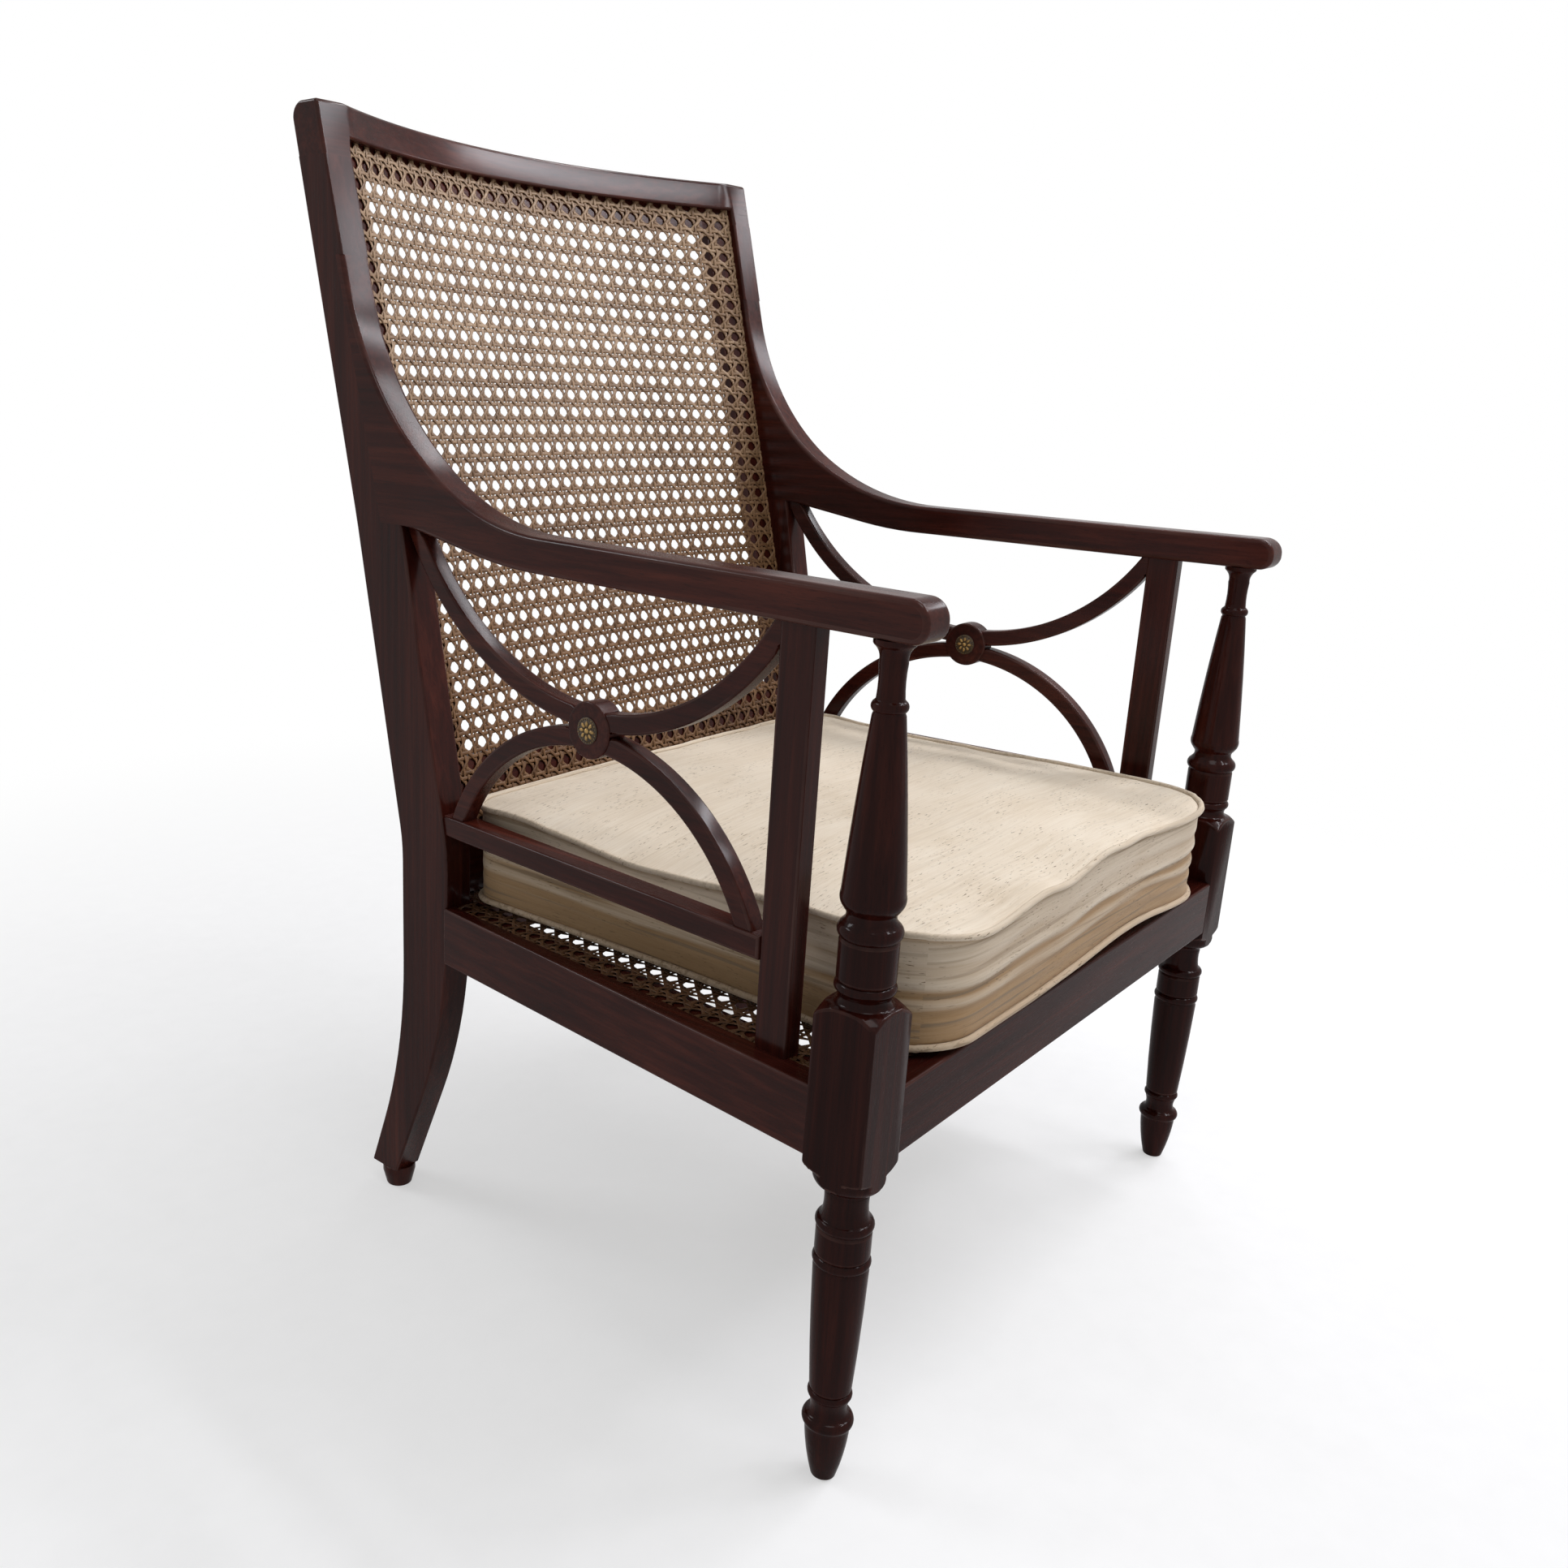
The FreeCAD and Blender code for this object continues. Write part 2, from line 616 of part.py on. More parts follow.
def crest_rail():
    """Bowed crest rail with an ear at each end."""
    bar = panel_piece(back_slab(0, CREST_T), (-INNER_X, INNER_X), (PANEL_TOP, OVERALL_H))
    ear = stile_blank().common(box((-FAR, 0), (0, FAR), (OVERALL_H - EAR_H, FAR)))
    return single(bar.fuse([ear, mirrored(ear)]))


def panel_screw(x):
    """Countersunk screw up through the top batten into the crest, along the back's slope."""
    height = PANEL_TOP - BATTEN_W + 1
    foot_y = front_line(PANEL_Z) + BATTEN_FACE + BATTEN_T / 2
    head = Vector(x, foot_y + panel_slope(x) * (height - PANEL_Z), height)
    along = Vector(0, panel_slope(x), 1).normalize()
    cone = Part.makeCone(SCREW_HEAD_R, SCREW_R, SCREW_HEAD_H, head, along)
    return single(cone.fuse(Part.makeCylinder(SCREW_R, SCREW_L, head, along)))


def panel_slope(x):
    """Lean of the back's face at one place across it, reach per height."""
    return (front_line(OVERALL_H) + bow_depth(x) - front_line(PANEL_Z)) / (OVERALL_H - PANEL_Z)


def panel_tenon():
    """Tenon of the panel's bottom rail into the left stile."""
    middle_y = front_line(PANEL_Z + BOTTOM_RAIL_H / 2) + BATTEN_FACE + BATTEN_T / 2
    thin = SMALL_TENON_T / 2
    across_joint = (-INNER_X - SMALL_TENON_L, -INNER_X)
    heights = (PANEL_Z + BOTTOM_RAIL_H / 4, PANEL_Z + BOTTOM_RAIL_H * 3 / 4)
    return box(across_joint, (middle_y - thin, middle_y + thin), heights)


def panel_frame():
    """The panel's battens and bottom rail, by name. The bottom rail is tenoned into the stiles, and its skirt
    goes down to the rear seat rail."""
    slab = back_slab(BATTEN_FACE, BATTEN_FACE + BATTEN_T)
    rail_top = PANEL_Z + BOTTOM_RAIL_H
    low, high = rail_top, PANEL_TOP - BATTEN_W
    edge = INNER_X - BATTEN_W
    face = front_line(PANEL_Z) + BATTEN_FACE
    skirt = box((-INNER_X, INNER_X), (face, face + BATTEN_T), (RAIL_TOP + CANE_GAP, PANEL_Z))
    bottom = panel_piece(slab, (-INNER_X, INNER_X), (PANEL_Z, rail_top)).fuse(skirt)
    tenon = panel_tenon()
    return {
        "back_panel_top_batten": panel_piece(slab, (-INNER_X, INNER_X), (high, PANEL_TOP)),
        "back_panel_left_batten": panel_piece(slab, (-INNER_X, -edge), (low, high)),
        "back_panel_right_batten": panel_piece(slab, (edge, INNER_X), (low, high)),
        "back_panel_bottom_rail": single(bottom.fuse([tenon, mirrored(tenon)])),
    }


def back_cane():
    slab = back_slab(PANEL_RECESS, PANEL_RECESS + CANE_T)
    return panel_piece(slab, (-INNER_X, INNER_X), (PANEL_Z, PANEL_TOP))


# Cushion

def cushion_outline(inset, z):
    """Plan of the cushion at one height: round corners, and sides drawn in between them."""
    front_y = POST_Y - BLOCK / 2 - CUSHION_OVERHANG + inset
    back_y = SEAT_REACH + CUSHION_REAR - inset
    front_x = POST_SPAN / 2 - BLOCK / 2 - CUSHION_GAP - inset
    back_x = INNER_X - CUSHION_BACK_GAP - inset
    plan = ((-front_x, front_y), (front_x, front_y), (back_x, back_y), (-back_x, back_y))
    corners = [Vector(CUSHION_SHIFT + x, y, z) for x, y in plan]
    middle = Vector(CUSHION_SHIFT, (front_y + back_y) / 2, z)
    joins = []
    for index, corner in enumerate(corners):
        radius = CUSHION_FRONT_R if index < 2 else CUSHION_BACK_R
        back = (corners[index - 1] - corner).normalize()
        ahead = (corners[(index + 1) % 4] - corner).normalize()
        round_point = corner + (back + ahead) * radius * (1 - sqrt(0.5))
        joins.append((corner + back * radius, round_point, corner + ahead * radius))
    edges = []
    for index, (start, round_point, end) in enumerate(joins):
        following = joins[(index + 1) % 4][0]
        half_way = (end + following) / 2
        drawn = half_way + (middle - half_way).normalize() * CUSHION_DRAW
        edges.append(Part.Arc(start, round_point, end).toShape())
        edges.append(Part.Arc(end, drawn, following).toShape())
    return Part.Wire(edges)


def seat_cushion():
    """Loose boxed cushion: two seams, drawn-in sides and a crowned top."""
    base = RAIL_TOP + CUSHION_LIFT
    wires = [cushion_outline(inset, base + height) for height, inset in CUSHION_SECTIONS]
    return Part.makeLoft(wires, True, True)


# Assembly of the left side, whose mirror image is the right

def left_side():
    """Every piece of the left side, by name, with its joints cut."""
    parted = OVERALL_H - EAR_H
    stile = stile_blank().common(box((-FAR, 0), (0, FAR), (0, parted))).fuse(ear_tenon())
    the_arm = arm()
    leg = turned_leg().cut(the_arm).fuse(post_tenon())
    the_arm = the_arm.cut(post_tenon())

    rail_front, rail_back = side_rail_tenons()
    rail = side_rail_blank().cut([leg, stile]).fuse([rail_front, rail_back])
    leg = leg.cut([rail_front, front_rail()])
    foot = rear_foot()
    stile = stile.cut([rail_back, rear_rail(), arm_tenon(), foot, panel_frame()["back_panel_bottom_rail"]])

    post, post_foot, post_head = (to_side(piece) for piece in upright())
    the_upright = post.cut(the_arm).fuse([post_foot, post_head])
    rail = rail.cut([post_foot, seat_cane().cut(upright_notch())])
    the_arm = the_arm.cut(post_head).fuse(arm_tenon())

    lower, lower_front_tenon, lower_back_tenon = (to_side(piece) for piece in lower_rail())
    lower = lower.cut(stile).fuse([lower_front_tenon, lower_back_tenon])
    stile = stile.cut(lower_back_tenon)
    lattice = {name: to_side(bow).cut(stile) for name, bow in bows().items()}
    lattice["lower_front_bow"] = lattice["lower_front_bow"].cut(the_upright)
    the_upright = the_upright.cut([lower_front_tenon, lattice["upper_front_bow"]])
    the_arm = the_arm.cut([lattice["upper_front_bow"], lattice["upper_rear_bow"]])
    lower = lower.cut([lattice["lower_front_bow"], lattice["lower_rear_bow"]])
    brass = [to_side(piece) for piece in rosettes()]
    the_boss = to_side(boss()).cut(list(lattice.values()) + brass)

    pieces = {
        "stile": stile, "arm": the_arm, "front_leg": leg, "side_seat_rail": rail, "rear_foot": foot,
        "arm_upright": the_upright, "lower_arm_rail": lower, "lattice_boss": the_boss, **lattice,
    }
    pieces = {name: single(piece) for name, piece in pieces.items()}
    pieces["brass_rosettes"] = Part.makeCompound(brass)
    return pieces


def chair():
    """Every piece of the chair, by name."""
    pieces = {}
    for name, piece in left_side().items():
        pieces["left_" + name] = piece
        pieces["right_" + name] = mirrored(piece)
    cane = single(seat_cane().cut([upright_notch(), mirrored(upright_notch())]))
    screws = [panel_screw(x) for x in SCREW_PLACES]
    tenons = [ear_tenon(), mirrored(ear_tenon())]
    panel = panel_frame()
    panel["back_panel_top_batten"] = single(panel["back_panel_top_batten"].cut(screws))
    pieces.update(panel)
    pieces["crest_rail"] = single(crest_rail().cut(tenons + screws))
    pieces["front_seat_rail"] = single(front_rail().cut(cane))
    pieces["rear_seat_rail"] = single(rear_rail().cut(cane))
    pieces["seat_cane"] = cane
    pieces["back_cane"] = back_cane()
    pieces["panel_screws"] = Part.makeCompound(screws)
    pieces["seat_cushion"] = seat_cushion()
    return pieces


def main():
    os.makedirs("parts", exist_ok=True)
    pieces = chair()
    front = -ARM_OVERHANG
    back = front_line(OVERALL_H) + CREST_BOW + CREST_T
    for name, shape in pieces.items():
        shape.translate(Vector(0, -(front + back) / 2, 0))
        if not shape.isValid() or shape.Volume <= 0:
            raise ValueError(f"{name} isn't a sound solid")
        shape.exportStep(f"parts/{name}.step")
    print(f"{len(pieces)} pieces, front post axis at y = {POST_Y - (front + back) / 2:.2f}, "
          f"depth {back - front:.2f}, tip of the horn at z = {tip_height():.1f}")


main()
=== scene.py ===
from math import copysign, cos, pi, radians, sin, sqrt

import bmesh
import bpy
from mathutils import Matrix, Vector, noise
from mathutils.bvhtree import BVHTree


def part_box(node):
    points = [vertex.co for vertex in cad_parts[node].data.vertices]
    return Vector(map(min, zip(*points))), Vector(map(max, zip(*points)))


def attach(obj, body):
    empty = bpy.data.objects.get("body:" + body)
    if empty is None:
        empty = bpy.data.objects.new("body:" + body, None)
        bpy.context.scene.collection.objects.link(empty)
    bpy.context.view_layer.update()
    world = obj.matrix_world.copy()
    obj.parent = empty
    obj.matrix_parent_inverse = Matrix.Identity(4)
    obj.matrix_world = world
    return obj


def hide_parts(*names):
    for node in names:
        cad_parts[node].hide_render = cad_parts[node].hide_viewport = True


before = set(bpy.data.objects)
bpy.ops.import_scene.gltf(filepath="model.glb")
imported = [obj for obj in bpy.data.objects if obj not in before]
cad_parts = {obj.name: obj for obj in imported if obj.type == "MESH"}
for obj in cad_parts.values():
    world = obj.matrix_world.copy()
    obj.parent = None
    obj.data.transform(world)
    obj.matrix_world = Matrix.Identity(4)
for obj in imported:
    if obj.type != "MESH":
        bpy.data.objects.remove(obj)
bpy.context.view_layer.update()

# Stiles
# The two back stiles are sawn from dark mahogany planks, each in one piece with its sabre leg. Like all the
# chair's wood they are French polished, with edges that were eased and then rubbed by long use; the rubbed
# edges are painted lighter, for the wear and as a painted highlight along them.
SIDES = ("left", "right")
STILE_EASE = 0.0022


def put(tree, kind, inputs=None, **settings):
    """Adds a node to a tree; an input is given as a value or as the socket that feeds it."""
    made = tree.nodes.new(kind)
    for name, value in settings.items():
        setattr(made, name, value)
    for name, value in (inputs or {}).items():
        if isinstance(value, bpy.types.NodeSocket):
            tree.links.new(value, made.inputs[name])
        else:
            made.inputs[name].default_value = value
    return made


def math(tree, operation, first, second=0.0, clamp=False):
    made = put(tree, "ShaderNodeMath", {0: first, 1: second}, operation=operation, use_clamp=clamp)
    return made.outputs[0]


def times(tree, first, second, clamp=False):
    return math(tree, "MULTIPLY", first, second, clamp)


def plus(tree, first, second):
    return math(tree, "ADD", first, second)


def minus(tree, first, second):
    return math(tree, "SUBTRACT", first, second)


def blend_colour(tree, amount, first, second, how="MIX"):
    mixed = put(tree, "ShaderNodeMix", {0: amount, 6: first, 7: second}, data_type="RGBA", blend_type=how)
    return mixed.outputs[2]


def speckle(tree, vector, stretch, detail=4.0, roughness=0.55, distortion=0.0):
    """Noise with its own frequency per metre along each axis."""
    scaled = put(tree, "ShaderNodeVectorMath", {0: vector, 1: stretch}, operation="MULTIPLY").outputs[0]
    made = put(tree, "ShaderNodeTexNoise", {"Vector": scaled, "Scale": 1.0, "Detail": detail,
                                            "Roughness": roughness, "Distortion": distortion})
    return made.outputs[0]


def ramp(tree, value, stops):
    """Colour ramp through (place, colour) stops."""
    made = put(tree, "ShaderNodeValToRGB", {0: value})
    marks = made.color_ramp.elements
    while len(marks) < len(stops):
        marks.new(0.5)
    for mark, (place, colour) in zip(marks, stops):
        mark.position = place
        mark.color = (*colour, 1.0)
    return made.outputs[0]


def step_up(tree, value, low, high):
    """Rises smoothly from 0 at low to 1 at high."""
    made = put(tree, "ShaderNodeMapRange", {0: value, 1: low, 2: high}, interpolation_type="SMOOTHSTEP")
    return made.outputs[0]


def in_place(tree):
    return put(tree, "ShaderNodeTexCoord").outputs["Object"]


def attribute(tree, name):
    return put(tree, "ShaderNodeAttribute", attribute_name=name).outputs["Fac"]


def surface_group(name, *amounts):
    """An empty group that takes a vector and amounts, and gives colour, roughness and height."""
    tree = bpy.data.node_groups.new(name, "ShaderNodeTree")
    sockets = [("Vector", "INPUT", "Vector")] + [(label, "INPUT", "Float") for label in amounts]
    sockets += [("Color", "OUTPUT", "Color")]
    sockets += [(label, "OUTPUT", "Float") for label in ("Roughness", "Height")]
    for label, way, kind in sockets:
        tree.interface.new_socket(label, in_out=way, socket_type="NodeSocket" + kind)
    return tree, tree.nodes.new("NodeGroupInput").outputs, tree.nodes.new("NodeGroupOutput")


MAHOGANY_STOPS = (
    (0.30, (0.0120, 0.0026, 0.0018)),
    (0.50, (0.0350, 0.0062, 0.0040)),
    (0.72, (0.0800, 0.0165, 0.0095)),
)
# Rubbed edges: lighter and greyer for the wear, and as a painted highlight along them
RUBBED_AND_HIGHLIT_MAHOGANY = (0.105, 0.050, 0.040, 1.0)
PORE_SHADE = (0.35, 0.30, 0.30, 1.0)
# Painted shade, multiplied into the front legs and the front rail
PAINTED_SHADE_TINT = (0.30, 0.26, 0.26, 1.0)
# Frequencies of the figure per metre, along the grain and twice across it
RIBBON, CLOUD, PORES = (6.0, 190.0, 190.0), (3.0, 21.0, 21.0), (55.0, 1500.0, 1500.0)
WEAR, SMEARS = (9.0, 24.0, 24.0), (14.0, 45.0, 45.0)
GRAIN_DEPTH = 0.0003
BASE_SHINE, POLISH_IOR, POLISH, HAZE = 0.015, 1.7, 0.15, 0.18


def mahogany_figure():
    """Ribbon figure, pores, polish marks, rubbed edges painted lighter for wear and as a painted highlight,
    and painted shade where the wood is darkened. The grain runs along the vector's X.
    """
    tree, given, out = surface_group("mahogany_figure", "Rubbed", "Painted Shade")
    vector, rubbed_and_highlit = given["Vector"], given["Rubbed"]
    ribbon = speckle(tree, vector, RIBBON, detail=5.0, distortion=0.4)
    cloud = speckle(tree, vector, CLOUD, detail=3.0)
    tone = plus(tree, times(tree, ribbon, 0.5), times(tree, cloud, 0.5))
    wood = ramp(tree, tone, MAHOGANY_STOPS)
    pores = step_up(tree, speckle(tree, vector, PORES, detail=2.0), 0.58, 0.70)
    wood = blend_colour(tree, times(tree, pores, 0.6), wood, PORE_SHADE, "MULTIPLY")
    # Painted shade, by the given amount
    wood = blend_colour(tree, given["Painted Shade"], wood, PAINTED_SHADE_TINT, "MULTIPLY")
    # Rubbed edges painted lighter in patches, for the wear and as a painted highlight
    patchy = step_up(tree, speckle(tree, vector, WEAR, detail=5.0), 0.34, 0.74)
    wear_and_highlight = times(tree, times(tree, rubbed_and_highlit, patchy), 0.5)
    wood = blend_colour(tree, wear_and_highlight, wood, RUBBED_AND_HIGHLIT_MAHOGANY)
    smears = speckle(tree, vector, SMEARS, detail=6.0, roughness=0.65)
    gloss = plus(tree, 0.13, times(tree, smears, 0.20))
    gloss = plus(tree, gloss, times(tree, pores, 0.12))
    height = minus(tree, times(tree, ribbon, 0.25), pores)
    feed(tree, out, Color=wood, Roughness=gloss, Height=height)
    return tree


def new_material(name, constants=None):
    """A node material with constants on its shader; returns it, its tree and its shader."""
    material = bpy.data.materials.new(name)
    material.use_nodes = True
    tree = material.node_tree
    tree.nodes.clear()
    shader = put(tree, "ShaderNodeBsdfPrincipled", constants)
    put(tree, "ShaderNodeOutputMaterial", {"Surface": shader.outputs[0]})
    return material, tree, shader


def feed(tree, node, **sockets):
    """Links sockets to a node's inputs; an underscore stands for a space in an input's name."""
    for name, socket in sockets.items():
        tree.links.new(socket, node.inputs[name.replace("_", " ")])


def bumped(tree, height, strength, depth):
    """A normal from a height that changes over the surface."""
    bump = put(tree, "ShaderNodeBump", {"Height": height, "Strength": strength, "Distance": depth})
    return bump.outputs[0]


def mahogany(name, turn, painted_shade=0.0, polish=POLISH, haze=HAZE):
    """French-polished mahogany whose grain follows the axis that turn brings to X."""
    material, tree, shader = new_material(name, {"Specular IOR Level": BASE_SHINE, "Coat Weight": polish,
                                                 "Coat IOR": POLISH_IOR, "Coat Roughness": haze})
    turned = put(tree, "ShaderNodeMapping", {"Vector": in_place(tree), "Rotation": turn}).outputs[0]
    figure = put(tree, "ShaderNodeGroup", node_tree=MAHOGANY_FIGURE)
    feed(tree, figure, Vector=turned, Rubbed=attribute(tree, "rubbed_and_highlit_edge"))
    figure.inputs["Painted Shade"].default_value = painted_shade
    feed(tree, shader, Base_Color=figure.outputs["Color"], Roughness=figure.outputs["Roughness"],
         Normal=bumped(tree, figure.outputs["Height"], 0.25, GRAIN_DEPTH))
    return material


MAHOGANY_FIGURE = mahogany_figure()
GRAIN_X, GRAIN_Y, GRAIN_Z = (0.0, 0.0, 0.0), (0.0, 0.0, radians(-90)), (0.0, radians(90), 0.0)
ALONG_X = mahogany("mahogany_across_the_chair", GRAIN_X)
ALONG_Y = mahogany("mahogany_front_to_back", GRAIN_Y)
ALONG_Z = mahogany("mahogany_upright", GRAIN_Z)

FRAME_SHAPES = {}
for frame_name, frame_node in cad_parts.items():
    if frame_name != "seat_cushion":
        corners = [v.co for v in frame_node.data.vertices]
        faces = [tuple(p.vertices) for p in frame_node.data.polygons]
        FRAME_SHAPES[frame_name] = (BVHTree.FromPolygons(corners, faces), *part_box(frame_name))


def meets_another(name, point, gap=0.0003):
    """Is this point on the face of a neighbouring piece, as along a joint?"""
    for other, (shape, low, high) in FRAME_SHAPES.items():
        if other == name or any(point[i] < low[i] - gap or point[i] > high[i] + gap for i in range(3)):
            continue
        if shape.find_nearest(point, gap)[0] is not None:
            return True
    return False


def keep_mesh(obj):
    """Replaces an object's mesh by its finished one and drops its modifiers."""
    graph = bpy.context.evaluated_depsgraph_get()
    finished = bpy.data.meshes.new_from_object(obj.evaluated_get(graph))
    obj.modifiers.clear()
    obj.data = finished
    return obj


def smooth(mesh, angle=38.0):
    """Shades a mesh smooth, apart from edges sharper than an angle."""
    for face in mesh.polygons:
        face.use_smooth = True
    mesh.set_sharp_from_angle(angle=radians(angle))


def place_piece(name, mesh, material, body="frame"):
    obj = bpy.data.objects.new(name, mesh)
    bpy.context.scene.collection.objects.link(obj)
    mesh.materials.clear()
    mesh.materials.append(material)
    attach(obj, body)
    return obj


WELD = 2e-6
COPLANAR, CORNER = radians(0.4), radians(32)


def eased_wood(node, ease, material, segments=3):
    """A wooden piece with its free edges eased and marked as rubbed, for wear and a painted highlight;
    edges along its joints stay crisp.
    """
    shape = bmesh.new()
    shape.from_mesh(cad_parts[node].data)
    bmesh.ops.remove_doubles(shape, verts=shape.verts, dist=WELD)
    bmesh.ops.dissolve_limit(shape, angle_limit=COPLANAR, verts=shape.verts, edges=shape.edges)
    free = []
    for edge in shape.edges:
        if len(edge.link_faces) == 2 and edge.is_convex and edge.calc_face_angle(0.0) > CORNER:
            if not meets_another(node, (edge.verts[0].co + edge.verts[1].co) / 2):
                free.append(edge)
    # Bevel faces are marked for the rubbed edges' wear and painted highlight
    rubbed_and_highlit = shape.faces.layers.float.new("rubbed_and_highlit_edge")
    made = bmesh.ops.bevel(shape, geom=free, offset=ease, offset_type="OFFSET", segments=segments,
                           profile=0.5, affect="EDGES", clamp_overlap=False, loop_slide=True)
    for face in made["faces"]:
        face[rubbed_and_highlit] = 1.0
    sawn = FRAME_SHAPES[node][0]
    for corner in shape.verts:
        nearest, _, _, gap = sawn.find_nearest(corner.co)
        if gap > ease:
            corner.co = nearest
    bmesh.ops.remove_doubles(shape, verts=shape.verts, dist=WELD)
    bmesh.ops.dissolve_degenerate(shape, dist=WELD, edges=shape.edges)
    mesh = bpy.data.meshes.new(node + "_wood")
    shape.to_mesh(mesh)
    shape.free()
    smooth(mesh)
    obj = place_piece(node + "_wood", mesh, material)
    weighting = obj.modifiers.new("even_shading", "WEIGHTED_NORMAL")
    weighting.keep_sharp = True
    keep_mesh(obj)
    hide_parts(node)
    return obj


for side in SIDES:
    eased_wood(side + "_stile", STILE_EASE, ALONG_Z)

# Rear feet
# Short turned pegs under the sabre legs, in the same wood.
FOOT_EASE = 0.0012
for side in SIDES:
    eased_wood(side + "_rear_foot", FOOT_EASE, ALONG_Z)

# Front legs
# Each front leg is turned from one square length: a tapered foot with rings, the square block that takes
# the rails, and a vase-shaped post that is pegged into the arm. Their colour is darkened as painted shade.
LEG_EASE = 0.0014
# Painted shade: the front legs are darkened, with a thinner polish
DARK_TURNED = mahogany("mahogany_turned_legs", GRAIN_Z, painted_shade=0.55, polish=0.085, haze=0.11)
for side in SIDES:
    eased_wood(side + "_front_leg", LEG_EASE, DARK_TURNED)

# Seat rails
# Four plain rails, tenoned into the blocks and stiles, with a ledge along their inner edges for the cane.
# The front one is painted nearly as dark as the legs beside it, as painted shade.
SEAT_RAIL_EASE = 0.0018
# Painted shade: the front rail is darkened too, with a thinner polish
DARK_ACROSS = mahogany("mahogany_front_rail", GRAIN_X, painted_shade=0.30, polish=0.07, haze=0.13)
eased_wood("front_seat_rail", SEAT_RAIL_EASE, DARK_ACROSS)
eased_wood("rear_seat_rail", SEAT_RAIL_EASE, ALONG_X)
for side in SIDES:
    eased_wood(side + "_side_seat_rail", SEAT_RAIL_EASE, ALONG_Y)

# Seat cane
# Split rattan, woven in the common octagon pattern over the open seat: pairs of strands each way and single
# ones along both diagonals. It is laid wet in the ledge of the rails, and dries tight.
SEAT_PITCH = 0.0163
PAIR_OFFSET = 0.0021
STRAND_WIDTH, STRAND_THICKNESS = 0.0033, 0.0007
PAIR_SWAY, DIAGONAL_SWAY = 0.00055, 0.00075
SEAT_NEAR, SEAT_LENGTH, SEAT_LEVEL = -0.3206, 0.4476, 0.299
SEAT_NEAR_HALF, SEAT_FAR_HALF = 0.3012, 0.2729
# Inner faces of the leg blocks and the stiles, across the seat and back from its front edge
BLOCK_INSIDE, BLOCK_REAR = 0.2735, 0.0285
STILE_INSIDE, STILE_FRONT = 0.2535, 0.4155
SHORTEST_STRAND = 0.004
# Points along a strand, as a share of the pitch
PAIR_STEP, SLANT_STEP = 0.25, 0.35
TONE_SEED = 11
CANE_STOPS = (
    (0.28, (0.125, 0.066, 0.030)),
    (0.48, (0.230, 0.138, 0.074)),
    (0.70, (0.340, 0.224, 0.134)),
)
# The cane is painted browner low on the back, and brownest on the seat, partly for age and dirt and partly
# as
# painted shade: each tint with the heights between which it fades, and its share
CANE_AGE_AND_SHADE_TINTS = (
    ((0.58, 0.44, 0.31, 1.0), 0.45, 0.80, 0.9),
    ((0.42, 0.36, 0.34, 1.0), 0.305, 0.330, 0.8),
)


class Amount:
    """A number in a node tree that can be reckoned with."""

    def __init__(self, tree, socket):
        self.tree, self.socket = tree, socket

    def by(self, operation, other=0.0):
        other = other.socket if isinstance(other, Amount) else other
        return Amount(self.tree, math(self.tree, operation, self.socket, other))

    def __add__(self, other):
        return self.by("ADD", other)

    def __sub__(self, other):
        return self.by("SUBTRACT", other)

    def __mul__(self, other):
        return self.by("MULTIPLY", other)

    def __truediv__(self, other):
        return self.by("DIVIDE", other)

    def __rsub__(self, other):
        return self * -1.0 + other

    __radd__ = __add__
    __rmul__ = __mul__


def spot(tree, *parts):
    """A place in a tree from its numbers; one that is left out is zero."""
    parts = [part.socket if isinstance(part, Amount) else part for part in parts]
    return put(tree, "ShaderNodeCombineXYZ", dict(zip("XYZ", parts))).outputs[0]


def coordinates(tree):
    """The three coordinates of each point."""
    apart = put(tree, "ShaderNodeSeparateXYZ", {0: put(tree, "GeometryNodeInputPosition").outputs[0]})
    return [Amount(tree, socket) for socket in apart.outputs]


def taper(size):
    """How fast the panel narrows along its length."""
    return (size["Near Half"] - size["Far Half"]) / size["Length"]


def pair_side(place):
    """Which strand of its pair one is, from a place counted in pitches: -1 or 1."""
    return (place - place.by("ROUND")).by("SIGN")


def lengthwise_ends(size, number):
    column = (number / 2.0).by("FLOOR") - (size["Count"] / 4.0).by("FLOOR")
    u = column * size["Pitch"] + (number.by("MODULO", 2.0) * 2.0 - 1.0) * size["Pair Offset"]
    reach = (size["Near Half"] - u.by("ABSOLUTE")) / taper(size)
    return (u, 0.0), (u, reach.by("MINIMUM", size["Length"]).by("MAXIMUM", 0.0))


def lengthwise_lift(size, u, v):
    sway = ((v / size["Pitch"] - 0.5) * 2.0 * pi).by("SINE")
    return pair_side(u / size["Pitch"]) * sway * -PAIR_SWAY


def crosswise_ends(size, number):
    row = (number / 2.0).by("FLOOR") + 0.5
    v = row * size["Pitch"] + (number.by("MODULO", 2.0) * 2.0 - 1.0) * size["Pair Offset"]
    half = size["Near Half"] - v * taper(size)
    return (half * -1.0, v), (half, v)


def crosswise_lift(size, u, v):
    sway = (u / size["Pitch"] * 2.0 * pi).by("SINE")
    return pair_side(v / size["Pitch"] - 0.5) * sway * PAIR_SWAY


def diagonal_ends(way):
    def ends(size, number):
        start = ((size["Near Half"] / size["Pitch"]).by("FLOOR") - number) * size["Pitch"]
        low = ((start + size["Near Half"]) * -1.0 / (1.0 - taper(size))).by("MAXIMUM", 0.0)
        high = ((size["Near Half"] - start) / (taper(size) + 1.0)).by("MINIMUM", size["Length"])
        high = high.by("MAXIMUM", low)
        return ((start + low) * way, low), ((start + high) * way, high)
    return ends


def diagonal_lift(way):
    return lambda size, u, v: (u / size["Pitch"] * 2.0 * pi).by("COSINE") * (DIAGONAL_SWAY * way)


